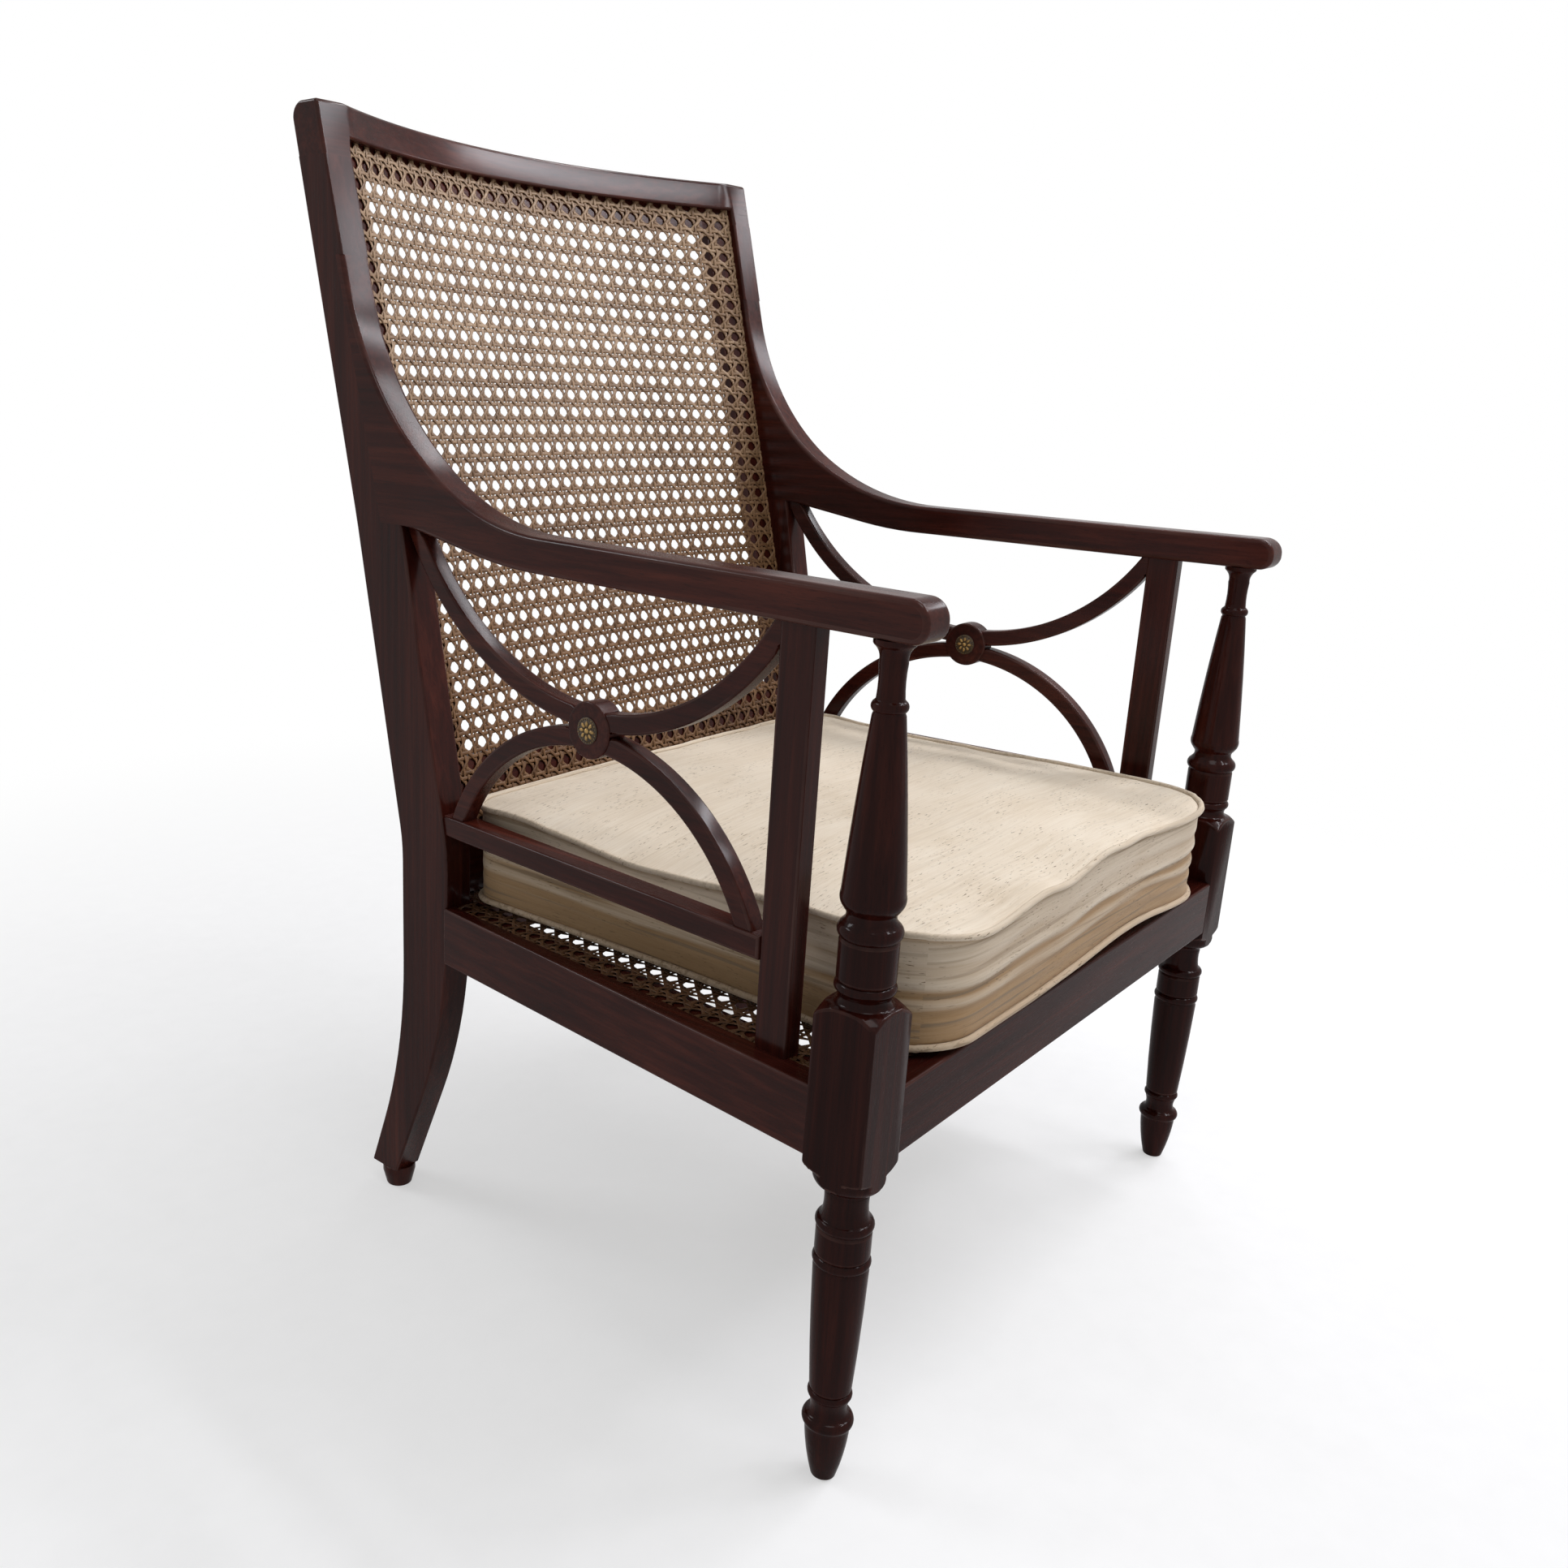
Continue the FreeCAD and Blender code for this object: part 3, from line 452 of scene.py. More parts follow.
def split_cane():
    """Glossy rattan skin: each strand has its own tone, with fibres and stains along it; lower down it is
    painted browner, partly for age and dirt and partly as painted shade.
    """
    material, tree, shader = new_material("split_cane", {"Specular IOR Level": 0.25})
    tone, run = attribute(tree, "strand_tone"), attribute(tree, "strand_run")
    place = in_place(tree)
    stain = speckle(tree, place, (13.0, 13.0, 13.0), detail=4.0)
    along = spot(tree, run, times(tree, tone, 7.0))
    streak = speckle(tree, along, (45.0, 90.0, 1.0), detail=4.0, roughness=0.6)
    fibre = speckle(tree, place, (900.0, 900.0, 900.0), detail=2.0)
    value = plus(tree, times(tree, tone, 0.30), times(tree, stain, 0.35))
    value = plus(tree, value, times(tree, streak, 0.35))
    colour = ramp(tree, value, CANE_STOPS)
    height = put(tree, "ShaderNodeSeparateXYZ", {0: place}).outputs["Z"]
    # Browner low on the back and on the seat: partly age and dirt, partly painted shade
    for tint, low, high, share in CANE_AGE_AND_SHADE_TINTS:
        below = minus(tree, 1.0, step_up(tree, height, low, high))
        colour = blend_colour(tree, times(tree, below, share), colour, tint, "MULTIPLY")
    rough = plus(tree, 0.34, times(tree, streak, 0.22))
    feed(tree, shader, Base_Color=colour, Roughness=rough, Normal=bumped(tree, fibre, 0.2, 0.0002))
    return material


SPLIT_CANE = split_cane()
STRAND_SIZES = ("Pitch", "Near Half", "Far Half", "Length", "Pair Offset", "Strand Width",
                "Strand Thickness", "Step")


def geometry(tree, kind, inputs=None, **settings):
    """Adds a geometry node and gives its first output."""
    return put(tree, "GeometryNode" + kind, inputs, **settings).outputs[0]


def moved(tree, shape, place):
    return geometry(tree, "SetPosition", {"Geometry": shape, "Position": place})


def without(tree, shape, chosen, domain):
    return geometry(tree, "DeleteGeometry", {"Geometry": shape, "Selection": chosen}, domain=domain)


def marked(tree, shape, name, value):
    """Stores a number under a name at each point of a shape."""
    return geometry(tree, "StoreNamedAttribute", {"Geometry": shape, "Name": name, "Value": value},
                    data_type="FLOAT", domain="POINT")


def strand_tree(name, ends, lift, lay, cut=None):
    """A tree that weaves a set of strands flat, each between its ends, and then lays them in place."""
    tree = bpy.data.node_groups.new(name, "GeometryNodeTree")
    tree.interface.new_socket("Strands", in_out="OUTPUT", socket_type="NodeSocketGeometry")
    for label in STRAND_SIZES:
        tree.interface.new_socket(label, in_out="INPUT", socket_type="NodeSocketFloat")
    tree.interface.new_socket("Count", in_out="INPUT", socket_type="NodeSocketInt")
    given = put(tree, "NodeGroupInput").outputs
    size = {label: Amount(tree, given[label]) for label in STRAND_SIZES + ("Count",)}
    owner = put(tree, "GeometryNodeCurveOfPoint").outputs
    number, end = (Amount(tree, socket) for socket in owner)
    (u0, v0), (u1, v1) = ends(size, number)
    points = geometry(tree, "Points", {"Count": given["Count"]})
    line = geometry(tree, "CurvePrimitiveLine")
    lines = geometry(tree, "InstanceOnPoints", {"Points": points, "Instance": line})
    lines = geometry(tree, "RealizeInstances", {0: lines})
    lines = moved(tree, lines, spot(tree, u0 + (u1 - u0) * end, v0 + (v1 - v0) * end))
    length = Amount(tree, geometry(tree, "SplineLength"))
    short = length.by("LESS_THAN", SHORTEST_STRAND).socket
    lines = without(tree, lines, short, "CURVE")
    lines = geometry(tree, "ResampleCurve", {"Curve": lines, "Length": given["Step"]}, mode="LENGTH")
    u, v, _ = coordinates(tree)
    if cut:
        lines = without(tree, lines, cut(u, v).socket, "POINT")
        lines = without(tree, lines, short, "CURVE")
    lines = moved(tree, lines, spot(tree, u, v, lift(size, u, v)))
    tone = put(tree, "FunctionNodeRandomValue", {7: owner[0], 8: TONE_SEED}, data_type="FLOAT").outputs[1]
    lines = marked(tree, lines, "strand_tone", tone)
    run = put(tree, "GeometryNodeSplineParameter").outputs["Length"]
    lines = marked(tree, lines, "strand_run", run)
    lines = geometry(tree, "SetCurveNormal", {"Curve": lines}, mode="Z_UP")
    section = geometry(tree, "CurvePrimitiveCircle", {"Resolution": 6, "Radius": 0.5})
    flat = spot(tree, size["Strand Width"], size["Strand Thickness"], 1.0)
    section = geometry(tree, "Transform", {"Geometry": section, "Scale": flat})
    strands = geometry(tree, "CurveToMesh", {"Curve": lines, "Profile Curve": section, "Fill Caps": True})
    strands = moved(tree, strands, spot(tree, *lay(*coordinates(tree))))
    strands = geometry(tree, "SetShadeSmooth", {"Geometry": strands})
    strands = geometry(tree, "RealizeInstances", {0: strands})
    strands = geometry(tree, "SetMaterial", {"Geometry": strands, "Material": SPLIT_CANE})
    put(tree, "NodeGroupOutput", {"Strands": strands})
    return tree


def grown(name, tree, sizes):
    """The plain mesh that a tree makes with the given sizes."""
    host = bpy.data.objects.new(name, bpy.data.meshes.new(name))
    bpy.context.scene.collection.objects.link(host)
    growth = host.modifiers.new(name, "NODES")
    growth.node_group = tree
    for item in tree.interface.items_tree:
        if item.in_out == "INPUT":
            growth[item.identifier] = sizes[item.name]
    graph = bpy.context.evaluated_depsgraph_get()
    mesh = bpy.data.meshes.new_from_object(host.evaluated_get(graph))
    bpy.data.objects.remove(host)
    return mesh


def weave_cane(node, pitch, near_half, far_half, length, lay, cut=None):
    """The strands of one cane panel: lengthwise pairs, crosswise pairs, and the diagonals of each way."""
    columns = 2 * (2 * int(near_half / pitch) + 1)
    rows = 2 * int(length / pitch)
    slants = int(near_half / pitch) + int((near_half + length) / pitch) + 1
    families = (("lengthwise", lengthwise_ends, lengthwise_lift, columns, PAIR_STEP),
                ("crosswise", crosswise_ends, crosswise_lift, rows, PAIR_STEP),
                ("rising", diagonal_ends(1.0), diagonal_lift(1.0), slants, SLANT_STEP),
                ("falling", diagonal_ends(-1.0), diagonal_lift(-1.0), slants, SLANT_STEP))
    for family, ends, lift, count, step in families:
        name = f"{node}_{family}_strands"
        sizes = {"Pitch": pitch, "Near Half": near_half, "Far Half": far_half, "Length": length,
                 "Pair Offset": PAIR_OFFSET, "Strand Width": STRAND_WIDTH,
                 "Strand Thickness": STRAND_THICKNESS, "Step": pitch * step, "Count": count}
        mesh = grown(name, strand_tree(name, ends, lift, lay, cut), sizes)
        strands = place_piece(name, mesh, SPLIT_CANE)
        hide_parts(node)


def seat_lay(u, v, h):
    return u, v + SEAT_NEAR, h + SEAT_LEVEL


def beside_the_posts(u, v):
    """Where the strands would run into the leg blocks and the stiles."""
    block = u.by("ABSOLUTE").by("GREATER_THAN", BLOCK_INSIDE) * v.by("LESS_THAN", BLOCK_REAR)
    stile = u.by("ABSOLUTE").by("GREATER_THAN", STILE_INSIDE) * v.by("GREATER_THAN", STILE_FRONT)
    return block + stile


weave_cane("seat_cane", SEAT_PITCH, SEAT_NEAR_HALF, SEAT_FAR_HALF, SEAT_LENGTH, seat_lay,
           beside_the_posts)

# Arms, uprights and lower rails
# The arms run level from a rounded nose and sweep up into the stiles. Flat uprights and thin lower rails
# frame the lattice under them.
ARM_EASE, UPRIGHT_EASE, LOWER_RAIL_EASE = 0.0038, 0.0018, 0.0022
for side in SIDES:
    eased_wood(side + "_arm", ARM_EASE, ALONG_Y, segments=4)
    eased_wood(side + "_arm_upright", UPRIGHT_EASE, ALONG_Z)
    eased_wood(side + "_lower_arm_rail", LOWER_RAIL_EASE, ALONG_Y)

# Lattice
# Two bows stand back to back on each side, sawn in quarters that meet in a round boss.
BOW_EASE, BOSS_EASE = 0.0022, 0.0016
for side in SIDES:
    for bow in ("upper_front", "upper_rear", "lower_front", "lower_rear"):
        eased_wood(f"{side}_{bow}_bow", BOW_EASE, ALONG_Y)
    eased_wood(side + "_lattice_boss", BOSS_EASE, ALONG_X)

# Rosettes
# Small stamped brass flowers, one on each face of a boss, held by a pin. The brass is old, and dark in its
# hollows.
ROSETTE_SIZES = {"Radius": 0.0100, "Rise": 0.0026, "Petals": 8, "Beads": 24}
# Length and width as shares of the radius, and height as a share of the rise
HEART, PETAL, BEAD = (0.27, 0.27, 1.0), (0.31, 0.19, 0.85), (0.085, 0.085, 0.6)
PETALS_OUT, BEADS_OUT = 0.52, 0.90
PLATE_RISE = 0.7
BOSS_HALF = 0.0090
SIDE_SPLAY = 0.0633
BRASS_STOPS = (
    (0.0, (0.026, 0.016, 0.008)),
    (0.45, (0.110, 0.066, 0.024)),
    (1.0, (0.340, 0.215, 0.080)),
)


def old_brass():
    """Brass that is bare where it stands proud, and grimy in its hollows."""
    material, tree, shader = new_material("old_brass")
    proud = attribute(tree, "proud")
    grime = speckle(tree, in_place(tree), (420.0, 420.0, 420.0), detail=4.0)
    bare = step_up(tree, plus(tree, proud, times(tree, grime, 0.7)), 0.55, 1.25)
    rough = minus(tree, 0.62, times(tree, bare, 0.28))
    feed(tree, shader, Base_Color=ramp(tree, bare, BRASS_STOPS), Roughness=rough, Metallic=bare,
         Normal=bumped(tree, grime, 0.3, 0.0002))
    return material


OLD_BRASS = old_brass()


def rosette_tree():
    """A flower of domed petals with a centre boss and a ring of beads, facing up."""
    tree = bpy.data.node_groups.new("rosette", "GeometryNodeTree")
    tree.interface.new_socket("Rosette", in_out="OUTPUT", socket_type="NodeSocketGeometry")
    for label, kind in (("Radius", "Float"), ("Rise", "Float"), ("Petals", "Int"), ("Beads", "Int")):
        tree.interface.new_socket(label, in_out="INPUT", socket_type="NodeSocket" + kind)
    given = put(tree, "NodeGroupInput").outputs
    radius, rise = Amount(tree, given["Radius"]), Amount(tree, given["Rise"])

    def ball(wide, across, high):
        form = geometry(tree, "MeshUVSphere", {"Segments": 10, "Rings": 6, "Radius": 1.0})
        scale = spot(tree, radius * wide, radius * across, rise * high)
        return geometry(tree, "Transform", {"Geometry": form, "Scale": scale})

    def ringed(count, out, form):
        circle = geometry(tree, "MeshCircle", {"Vertices": count, "Radius": (radius * out).socket})
        x, y, _ = coordinates(tree)
        turn = spot(tree, 0.0, 0.0, y.by("ARCTAN2", x))
        return geometry(tree, "InstanceOnPoints", {"Points": circle, "Instance": form, "Rotation": turn})

    plate = geometry(tree, "MeshCylinder", {"Vertices": 40, "Radius": given["Radius"],
                                            "Depth": (rise * PLATE_RISE).socket})
    parts = put(tree, "GeometryNodeJoinGeometry")
    for part in (plate, ball(*HEART), ringed(given["Petals"], PETALS_OUT, ball(*PETAL)),
                 ringed(given["Beads"], BEADS_OUT, ball(*BEAD))):
        tree.links.new(part, parts.inputs[0])
    solid = geometry(tree, "RealizeInstances", {0: parts.outputs[0]})
    solid = marked(tree, solid, "proud", (coordinates(tree)[2] / rise).socket)
    solid = geometry(tree, "SetShadeSmooth", {"Geometry": solid})
    solid = geometry(tree, "SetMaterial", {"Geometry": solid, "Material": OLD_BRASS})
    put(tree, "NodeGroupOutput", {"Rosette": solid})
    return tree


flower = grown("rosette", rosette_tree(), ROSETTE_SIZES)
for side in SIDES:
    low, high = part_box(side + "_brass_rosettes")
    middle = (Vector(low) + Vector(high)) / 2
    outward = Vector((-1.0 if side == "left" else 1.0, SIDE_SPLAY, 0.0)).normalized()
    pair = bmesh.new()
    for facing in (outward, -outward):
        turned = facing.to_track_quat("Z", "Y").to_matrix().to_4x4()
        copy = flower.copy()
        copy.transform(Matrix.Translation(middle + facing * BOSS_HALF) @ turned)
        pair.from_mesh(copy)
    mesh = bpy.data.meshes.new(side + "_rosettes")
    pair.to_mesh(mesh)
    pair.free()
    rosettes = place_piece(side + "_rosettes", mesh, OLD_BRASS)
    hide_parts(side + "_brass_rosettes")

# Crest rail and panel frame
# The bowed crest caps the stiles with its ears. Thin battens and a bottom rail behind the cane frame the
# back.
CREST_EASE, BATTEN_EASE, BOTTOM_RAIL_EASE = 0.0030, 0.0012, 0.0015
eased_wood("crest_rail", CREST_EASE, ALONG_X)
eased_wood("back_panel_top_batten", BATTEN_EASE, ALONG_X)
eased_wood("back_panel_bottom_rail", BOTTOM_RAIL_EASE, ALONG_X)
for side in SIDES:
    eased_wood(f"back_panel_{side}_batten", BATTEN_EASE, ALONG_Z)

# Back cane
# The same weave as the seat's, laid in a bowed panel between the stiles. It is straight at its foot and
# follows the crest's bow at its top.
BACK_PITCH = 0.0168
BACK_FOOT, BACK_FOOT_Y = 0.345, 0.1018
BACK_RISE, BACK_LEAN = 0.597, 0.1522
CREST_BOW, BACK_HALF = 0.063, 0.255
CREST_RADIUS = (BACK_HALF ** 2 + CREST_BOW ** 2) / (2 * CREST_BOW)
BACK_SLANT = sqrt(1.0 + (BACK_LEAN / BACK_RISE) ** 2)
CANE_RECESS = 0.0080
BACK_TOP = 0.915
# The weave narrows by a hair, because the reach of a lengthwise strand is divided by its taper
BACK_TAPER = 0.0001


def back_lay(u, v, h):
    """From the flat weave to the bowed back: u across, v up the slope, h towards the front."""
    share = v / (BACK_SLANT * BACK_RISE)
    bow = (CREST_RADIUS ** 2 - u * u).by("SQRT") + (CREST_BOW - CREST_RADIUS)
    y = share * (bow + BACK_LEAN) + (BACK_FOOT_Y + CANE_RECESS) - h * (1.0 / BACK_SLANT)
    z = v / BACK_SLANT + BACK_FOOT + h * (BACK_LEAN / BACK_RISE / BACK_SLANT)
    return u, y, z


weave_cane("back_cane", BACK_PITCH, BACK_HALF, BACK_HALF - BACK_TAPER,
           (BACK_TOP - BACK_FOOT) * BACK_SLANT, back_lay)

# Panel screws
# Four steel screws, gone dull and brown, that hold the top batten to the crest.
STEEL, RUST = (0.20, 0.19, 0.18, 1.0), (0.075, 0.040, 0.024, 1.0)


def dull_steel():
    """Steel with patches of rust, which are rougher and hardly metallic."""
    material, tree, shader = new_material("dull_steel")
    rust = step_up(tree, speckle(tree, in_place(tree), (300.0, 300.0, 300.0), detail=5.0), 0.45, 0.65)
    rough = plus(tree, 0.34, times(tree, rust, 0.4))
    metal = minus(tree, 1.0, times(tree, rust, 0.8))
    feed(tree, shader, Base_Color=blend_colour(tree, rust, STEEL, RUST), Roughness=rough, Metallic=metal)
    return material


DULL_STEEL = dull_steel()
for face_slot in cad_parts["panel_screws"].material_slots:
    face_slot.material = DULL_STEEL

# Cushion
# A loose, softly filled cushion in raw silk: top and bottom panels sewn to a boxing strip, with a piped
# cord in both seams. It lies on the cane, a little to one side, and its worn boxing has level creases.
CUSHION_MIDDLE = Vector((0.002, -0.1225))
CUSHION_HALF_W, CUSHION_HALF_D = 0.2530, 0.2190
FRONT_CORNER, BACK_CORNER = 0.060, 0.026
ACROSS, DEEP, BOXING_ROWS = 96, 84, 24
CUSHION_BASE, LOWER_SEAM, UPPER_SEAM, CUSHION_TOP = 0.3006, 0.3066, 0.3880, 0.3935
REAR_FLARE, REAR_RISE, SIDE_PULL = 0.006, 0.003, 0.002
ON_EDGE = 0.99999
# Waves of the seams, each with its middle, its width and its rise
FRONT_WAVES = ((0.010, 0.040, 0.0065), (0.075, 0.045, 0.0030), (-0.174, 0.040, -0.0060),
               (-0.055, 0.025, -0.0030), (0.185, 0.050, -0.0030))
LEFT_SAG = ((-0.095, 0.090, -0.0105),)
RIGHT_SAG = ((-0.025, 0.090, -0.0040),)
FRONT_LIFT = ((0.065, 0.085, 0.0080),)


def seam_plan(a, b):
    """Plan of a seam for a point on the edge of a unit square; it is pulled in between the corners."""
    x, y = a * CUSHION_HALF_W, b * CUSHION_HALF_D
    corner = FRONT_CORNER if b < 0 else BACK_CORNER
    straight_x, straight_y = CUSHION_HALF_W - corner, CUSHION_HALF_D - corner
    over = Vector((max(abs(x) - straight_x, 0.0), max(abs(y) - straight_y, 0.0)))
    if over.x > 0 and over.y > 0:
        over = over.normalized() * corner
        x, y = copysign(straight_x + over.x, x), copysign(straight_y + over.y, y)
    if abs(a) > ON_EDGE:
        x -= copysign(SIDE_PULL * (1.0 - b * b), a)
    if abs(b) > ON_EDGE:
        y -= copysign(SIDE_PULL * (1.0 - a * a), b)
    return Vector((x - REAR_FLARE * max(0.0, b) * max(0.0, -a), y))


def ripple(point, scale, seed):
    """Smooth noise over the plan."""
    return noise.noise(Vector((point.x * scale, point.y * scale, seed)))


def dip(place, middle, width):
    """A bell that is 1 at its middle."""
    return 2.718 ** (-((place - middle) / width) ** 2)


def waves(place, bumps):
    """A sum of bells, each given by its middle, its width and its rise."""
    return sum(rise * dip(place, middle, width) for middle, width, rise in bumps)


def upper_seam(a, b):
    """The upper seam has sunk along both sides, and runs in waves along the front."""
    plan = seam_plan(a, b)
    plan *= 1.0 + 0.004 * ripple(plan, 11.0, 3.1)
    place = plan + CUSHION_MIDDLE
    height = UPPER_SEAM + 0.0016 * ripple(plan, 9.0, 7.7) + 0.0013 * ripple(plan, 26.0, 1.3)
    if b < -ON_EDGE:
        height += waves(place.x, FRONT_WAVES)
    if b > ON_EDGE:
        height += REAR_RISE * (1.0 - a * a)
    if abs(a) > ON_EDGE:
        height += waves(place.y, LEFT_SAG if a < 0 else RIGHT_SAG)
    return Vector((*place, height))


def lower_seam(a, b):
    """The lower seam lies on the cane, and lifts off the front rail right of the middle."""
    plan = seam_plan(a, b) * 0.998
    height = LOWER_SEAM
    if b < -ON_EDGE:
        height += waves(plan.x, FRONT_LIFT) + 0.0015 * ripple(plan, 14.0, 5.2)
    return Vector((*(plan + CUSHION_MIDDLE), height))


def cushion_grid():
    """Unit-square places of a panel's points, and the places along its edge in order."""
    across = [2.0 * i / ACROSS - 1.0 for i in range(ACROSS + 1)]
    deep = [2.0 * j / DEEP - 1.0 for j in range(DEEP + 1)]
    rim = [(i, 0) for i in range(ACROSS)] + [(ACROSS, j) for j in range(DEEP)]
    rim += [(i, DEEP) for i in range(ACROSS, 0, -1)] + [(0, j) for j in range(DEEP, 0, -1)]
    return {(i, j): (a, b) for i, a in enumerate(across) for j, b in enumerate(deep)}, rim


def panel_point(a, b, seam, middle_height, fullness):
    """A point of a panel, drawn in from the seam towards the middle."""
    out = max(abs(a), abs(b))
    edge = seam(a / out, b / out) if out > 0 else seam(1.0, 0.0)
    plan = CUSHION_MIDDLE + (Vector(edge.xy) - CUSHION_MIDDLE) * out
    return Vector((*plan, middle_height + (edge.z - middle_height) * out ** fullness))


def cushion_cover():
    """The sewn cover before it is filled, with its panels' weave directions as a map in metres."""
    places, rim = cushion_grid()
    cover = bmesh.new()
    weave = cover.loops.layers.uv.new("weave")
    top = {key: cover.verts.new(panel_point(a, b, upper_seam, CUSHION_TOP, 3.0))
           for key, (a, b) in places.items()}
    bottom = {key: cover.verts.new(panel_point(a, b, lower_seam, CUSHION_BASE, 30.0))
              for key, (a, b) in places.items()}
    rows = [[bottom[key] for key in rim]]
    for row in range(1, BOXING_ROWS):
        share = row / BOXING_ROWS
        rows.append([cover.verts.new(bottom[key].co.lerp(top[key].co, share)) for key in rim])
    rows.append([top[key] for key in rim])
    for i in range(ACROSS):
        for j in range(DEEP):
            corners = ((i, j), (i + 1, j), (i + 1, j + 1), (i, j + 1))
            for panel, order, shift in ((top, corners, 0.0), (bottom, corners[::-1], 1.0)):
                for loop in cover.faces.new([panel[key] for key in order]).loops:
                    loop[weave].uv = (loop.vert.co.x + shift, loop.vert.co.y)
    run = [0.0]
    for n in range(len(rim)):
        run.append(run[-1] + (rows[-1][(n + 1) % len(rim)].co - rows[-1][n].co).length)
    for low, high in zip(rows, rows[1:]):
        for n in range(len(rim)):
            m = (n + 1) % len(rim)
            face = cover.faces.new((low[n], low[m], high[m], high[n]))
            for loop, along in zip(face.loops, (run[n], run[n + 1], run[n + 1], run[n])):
                loop[weave].uv = (along, 2.0 + loop.vert.co.z)
    cover.verts.index_update()
    groups = {"top": {key: vert.index for key, vert in top.items()},
              "bottom": [vert.index for vert in bottom.values()],
              "boxing": [[vert.index for vert in row] for row in rows], "run": run}
    mesh = bpy.data.meshes.new("cushion_cover")
    cover.to_mesh(mesh)
    cover.free()
    return mesh, groups


# The cushion swells and creases less behind this line, so that it stays clear of the back
REAR_LINE = 0.085
SWELL, REAR_SWELL = 0.0065, 0.004
FILL_FRAMES = 20


def fill_cushion(mesh, groups):
    """Fills the cover by air pressure, with its seams and its underside held, and limits its swelling."""
    slack = [v.co.copy() for v in mesh.vertices]
    cover = bpy.data.objects.new("cushion_cover", mesh)
    bpy.context.scene.collection.objects.link(cover)
    held = cover.vertex_groups.new(name="held")
    held.add(groups["bottom"] + groups["boxing"][0] + groups["boxing"][-1], 1.0, "REPLACE")
    cloth = cover.modifiers.new("fill", "CLOTH").settings
    cloth.quality = 5
    cloth.vertex_group_mass = "held"
    cloth.tension_stiffness = cloth.compression_stiffness = 12.0
    cloth.shear_stiffness = 4.0
    cloth.bending_stiffness = 0.4
    cloth.use_pressure = True
    cloth.uniform_pressure_force = 4.0
    cloth.effector_weights.gravity = 0.0
    for step in range(1, FILL_FRAMES + 1):
        bpy.context.scene.frame_set(step)
    graph = bpy.context.evaluated_depsgraph_get()
    swollen = [v.co.copy() for v in cover.evaluated_get(graph).data.vertices]
    bpy.context.scene.frame_set(1)
    bpy.data.objects.remove(cover)
    for vert, start, full in zip(mesh.vertices, slack, swollen):
        move = full - start
        most = REAR_SWELL if start.y > REAR_LINE else SWELL
        vert.co = start + move * min(1.0, most / max(move.length, 1e-9))


# Each crease of the boxing with its level, as a share of the height, and its depth
BOXING_CREASES = ((0.14, 0.0009), (0.30, 0.0021), (0.47, 0.0027), (0.70, 0.0009))
REAR_CREASES = 0.35
# Bells above and below a crease: its shape with the roll over it, and the painted shade in it with painted
# light on its roll
CREASE_SHAPE = ((0.070, 0.045, 0.50), (0.0, 0.034, -1.0))
CREASE_SHADE_AND_ROLL_LIGHT = ((-0.010, 0.030, 260.0), (0.075, 0.040, -130.0))
# The boxing's darkening: a plain painted shade below the top, more painted shade just under the upper
# piping, and darker towards the foot
PLAIN_BOXING_SHADE, MOST_DARKENING = 0.28, 1.3
SEAM_SHADE_AND_FOOT_DARKENING = ((0.97, 0.035, 0.45), (0.0, 0.42, 1.05))


def crease_boxing(mesh, groups):
    """Level creases along the boxing, which come and go, with a soft roll over each, painted shade in each
    crease and painted light on its roll; the boxing is also painted darker than the top as painted shade,
    most just under the upper piping, and darker towards its foot.
    """
    rows, run = groups["boxing"], groups["run"]
    count = len(rows[0])
    # The amount of dust and painted shade at each point of the boxing
    dust_and_shade = mesh.attributes.new("dust_and_shade", "FLOAT", "POINT").data
    for n in range(count):
        along = rows[-1][(n + 1) % count], rows[-1][n - 1]
        edge = mesh.vertices[along[0]].co - mesh.vertices[along[1]].co
        outward = Vector((edge.y, -edge.x, 0.0)).normalized()
        turn = 2.0 * pi * run[n] / run[-1]
        ring = Vector((cos(turn), sin(turn), 0.0)) * 0.30
        for k, row in enumerate(rows[1:-1], 1):
            share = k / BOXING_ROWS
            depth = 0.0
            darkening = PLAIN_BOXING_SHADE + waves(share, SEAM_SHADE_AND_FOOT_DARKENING)
            for line, (level, deep) in enumerate(BOXING_CREASES):
                drift = level + 0.05 * noise.noise(ring * 9.0 + Vector((0, 0, 11.0 + line * 5.3)))
                fades = 0.75 + 1.1 * noise.noise(ring * 12.0 + Vector((0, 0, 40.0 + line * 7.1)))
                off = share - drift
                force = deep * min(1.0, max(0.0, fades))
                depth += force * waves(off, CREASE_SHAPE)
                darkening += force * waves(off, CREASE_SHADE_AND_ROLL_LIGHT)
            dust_and_shade[row[n]].value = min(MOST_DARKENING, max(0.0, darkening))
            vert = mesh.vertices[row[n]]
            vert.co += outward * depth * (REAR_CREASES if vert.co.y > REAR_LINE else 1.0)


SEAM_STRIP, PUCKER = 0.16, 0.0016
HOLLOW, SMALL_HOLLOW = 0.0034, 0.0012


def dent_top(mesh, groups):
    """Shallow hollows from sitting, and small puckers along the seam."""
    for (i, j), index in groups["top"].items():
        a, b = 2.0 * i / ACROSS - 1.0, 2.0 * j / DEEP - 1.0
        out = max(abs(a), abs(b))
        vert = mesh.vertices[index]
        inside = 1.0 - out ** 6
        near_seam = max(0.0, 1.0 - (1.0 - out) / SEAM_STRIP) * (1.0 - out ** 40)
        edge = vert.co.x if abs(b) > abs(a) else vert.co.y
        hollow = HOLLOW * ripple(vert.co, 8.0, 2.4) + SMALL_HOLLOW * ripple(vert.co, 21.0, 9.6)
        vert.co.z += inside * hollow
        vert.co.z += near_seam * PUCKER * noise.noise(Vector((edge * 55.0, out * 6.0, 4.0)))


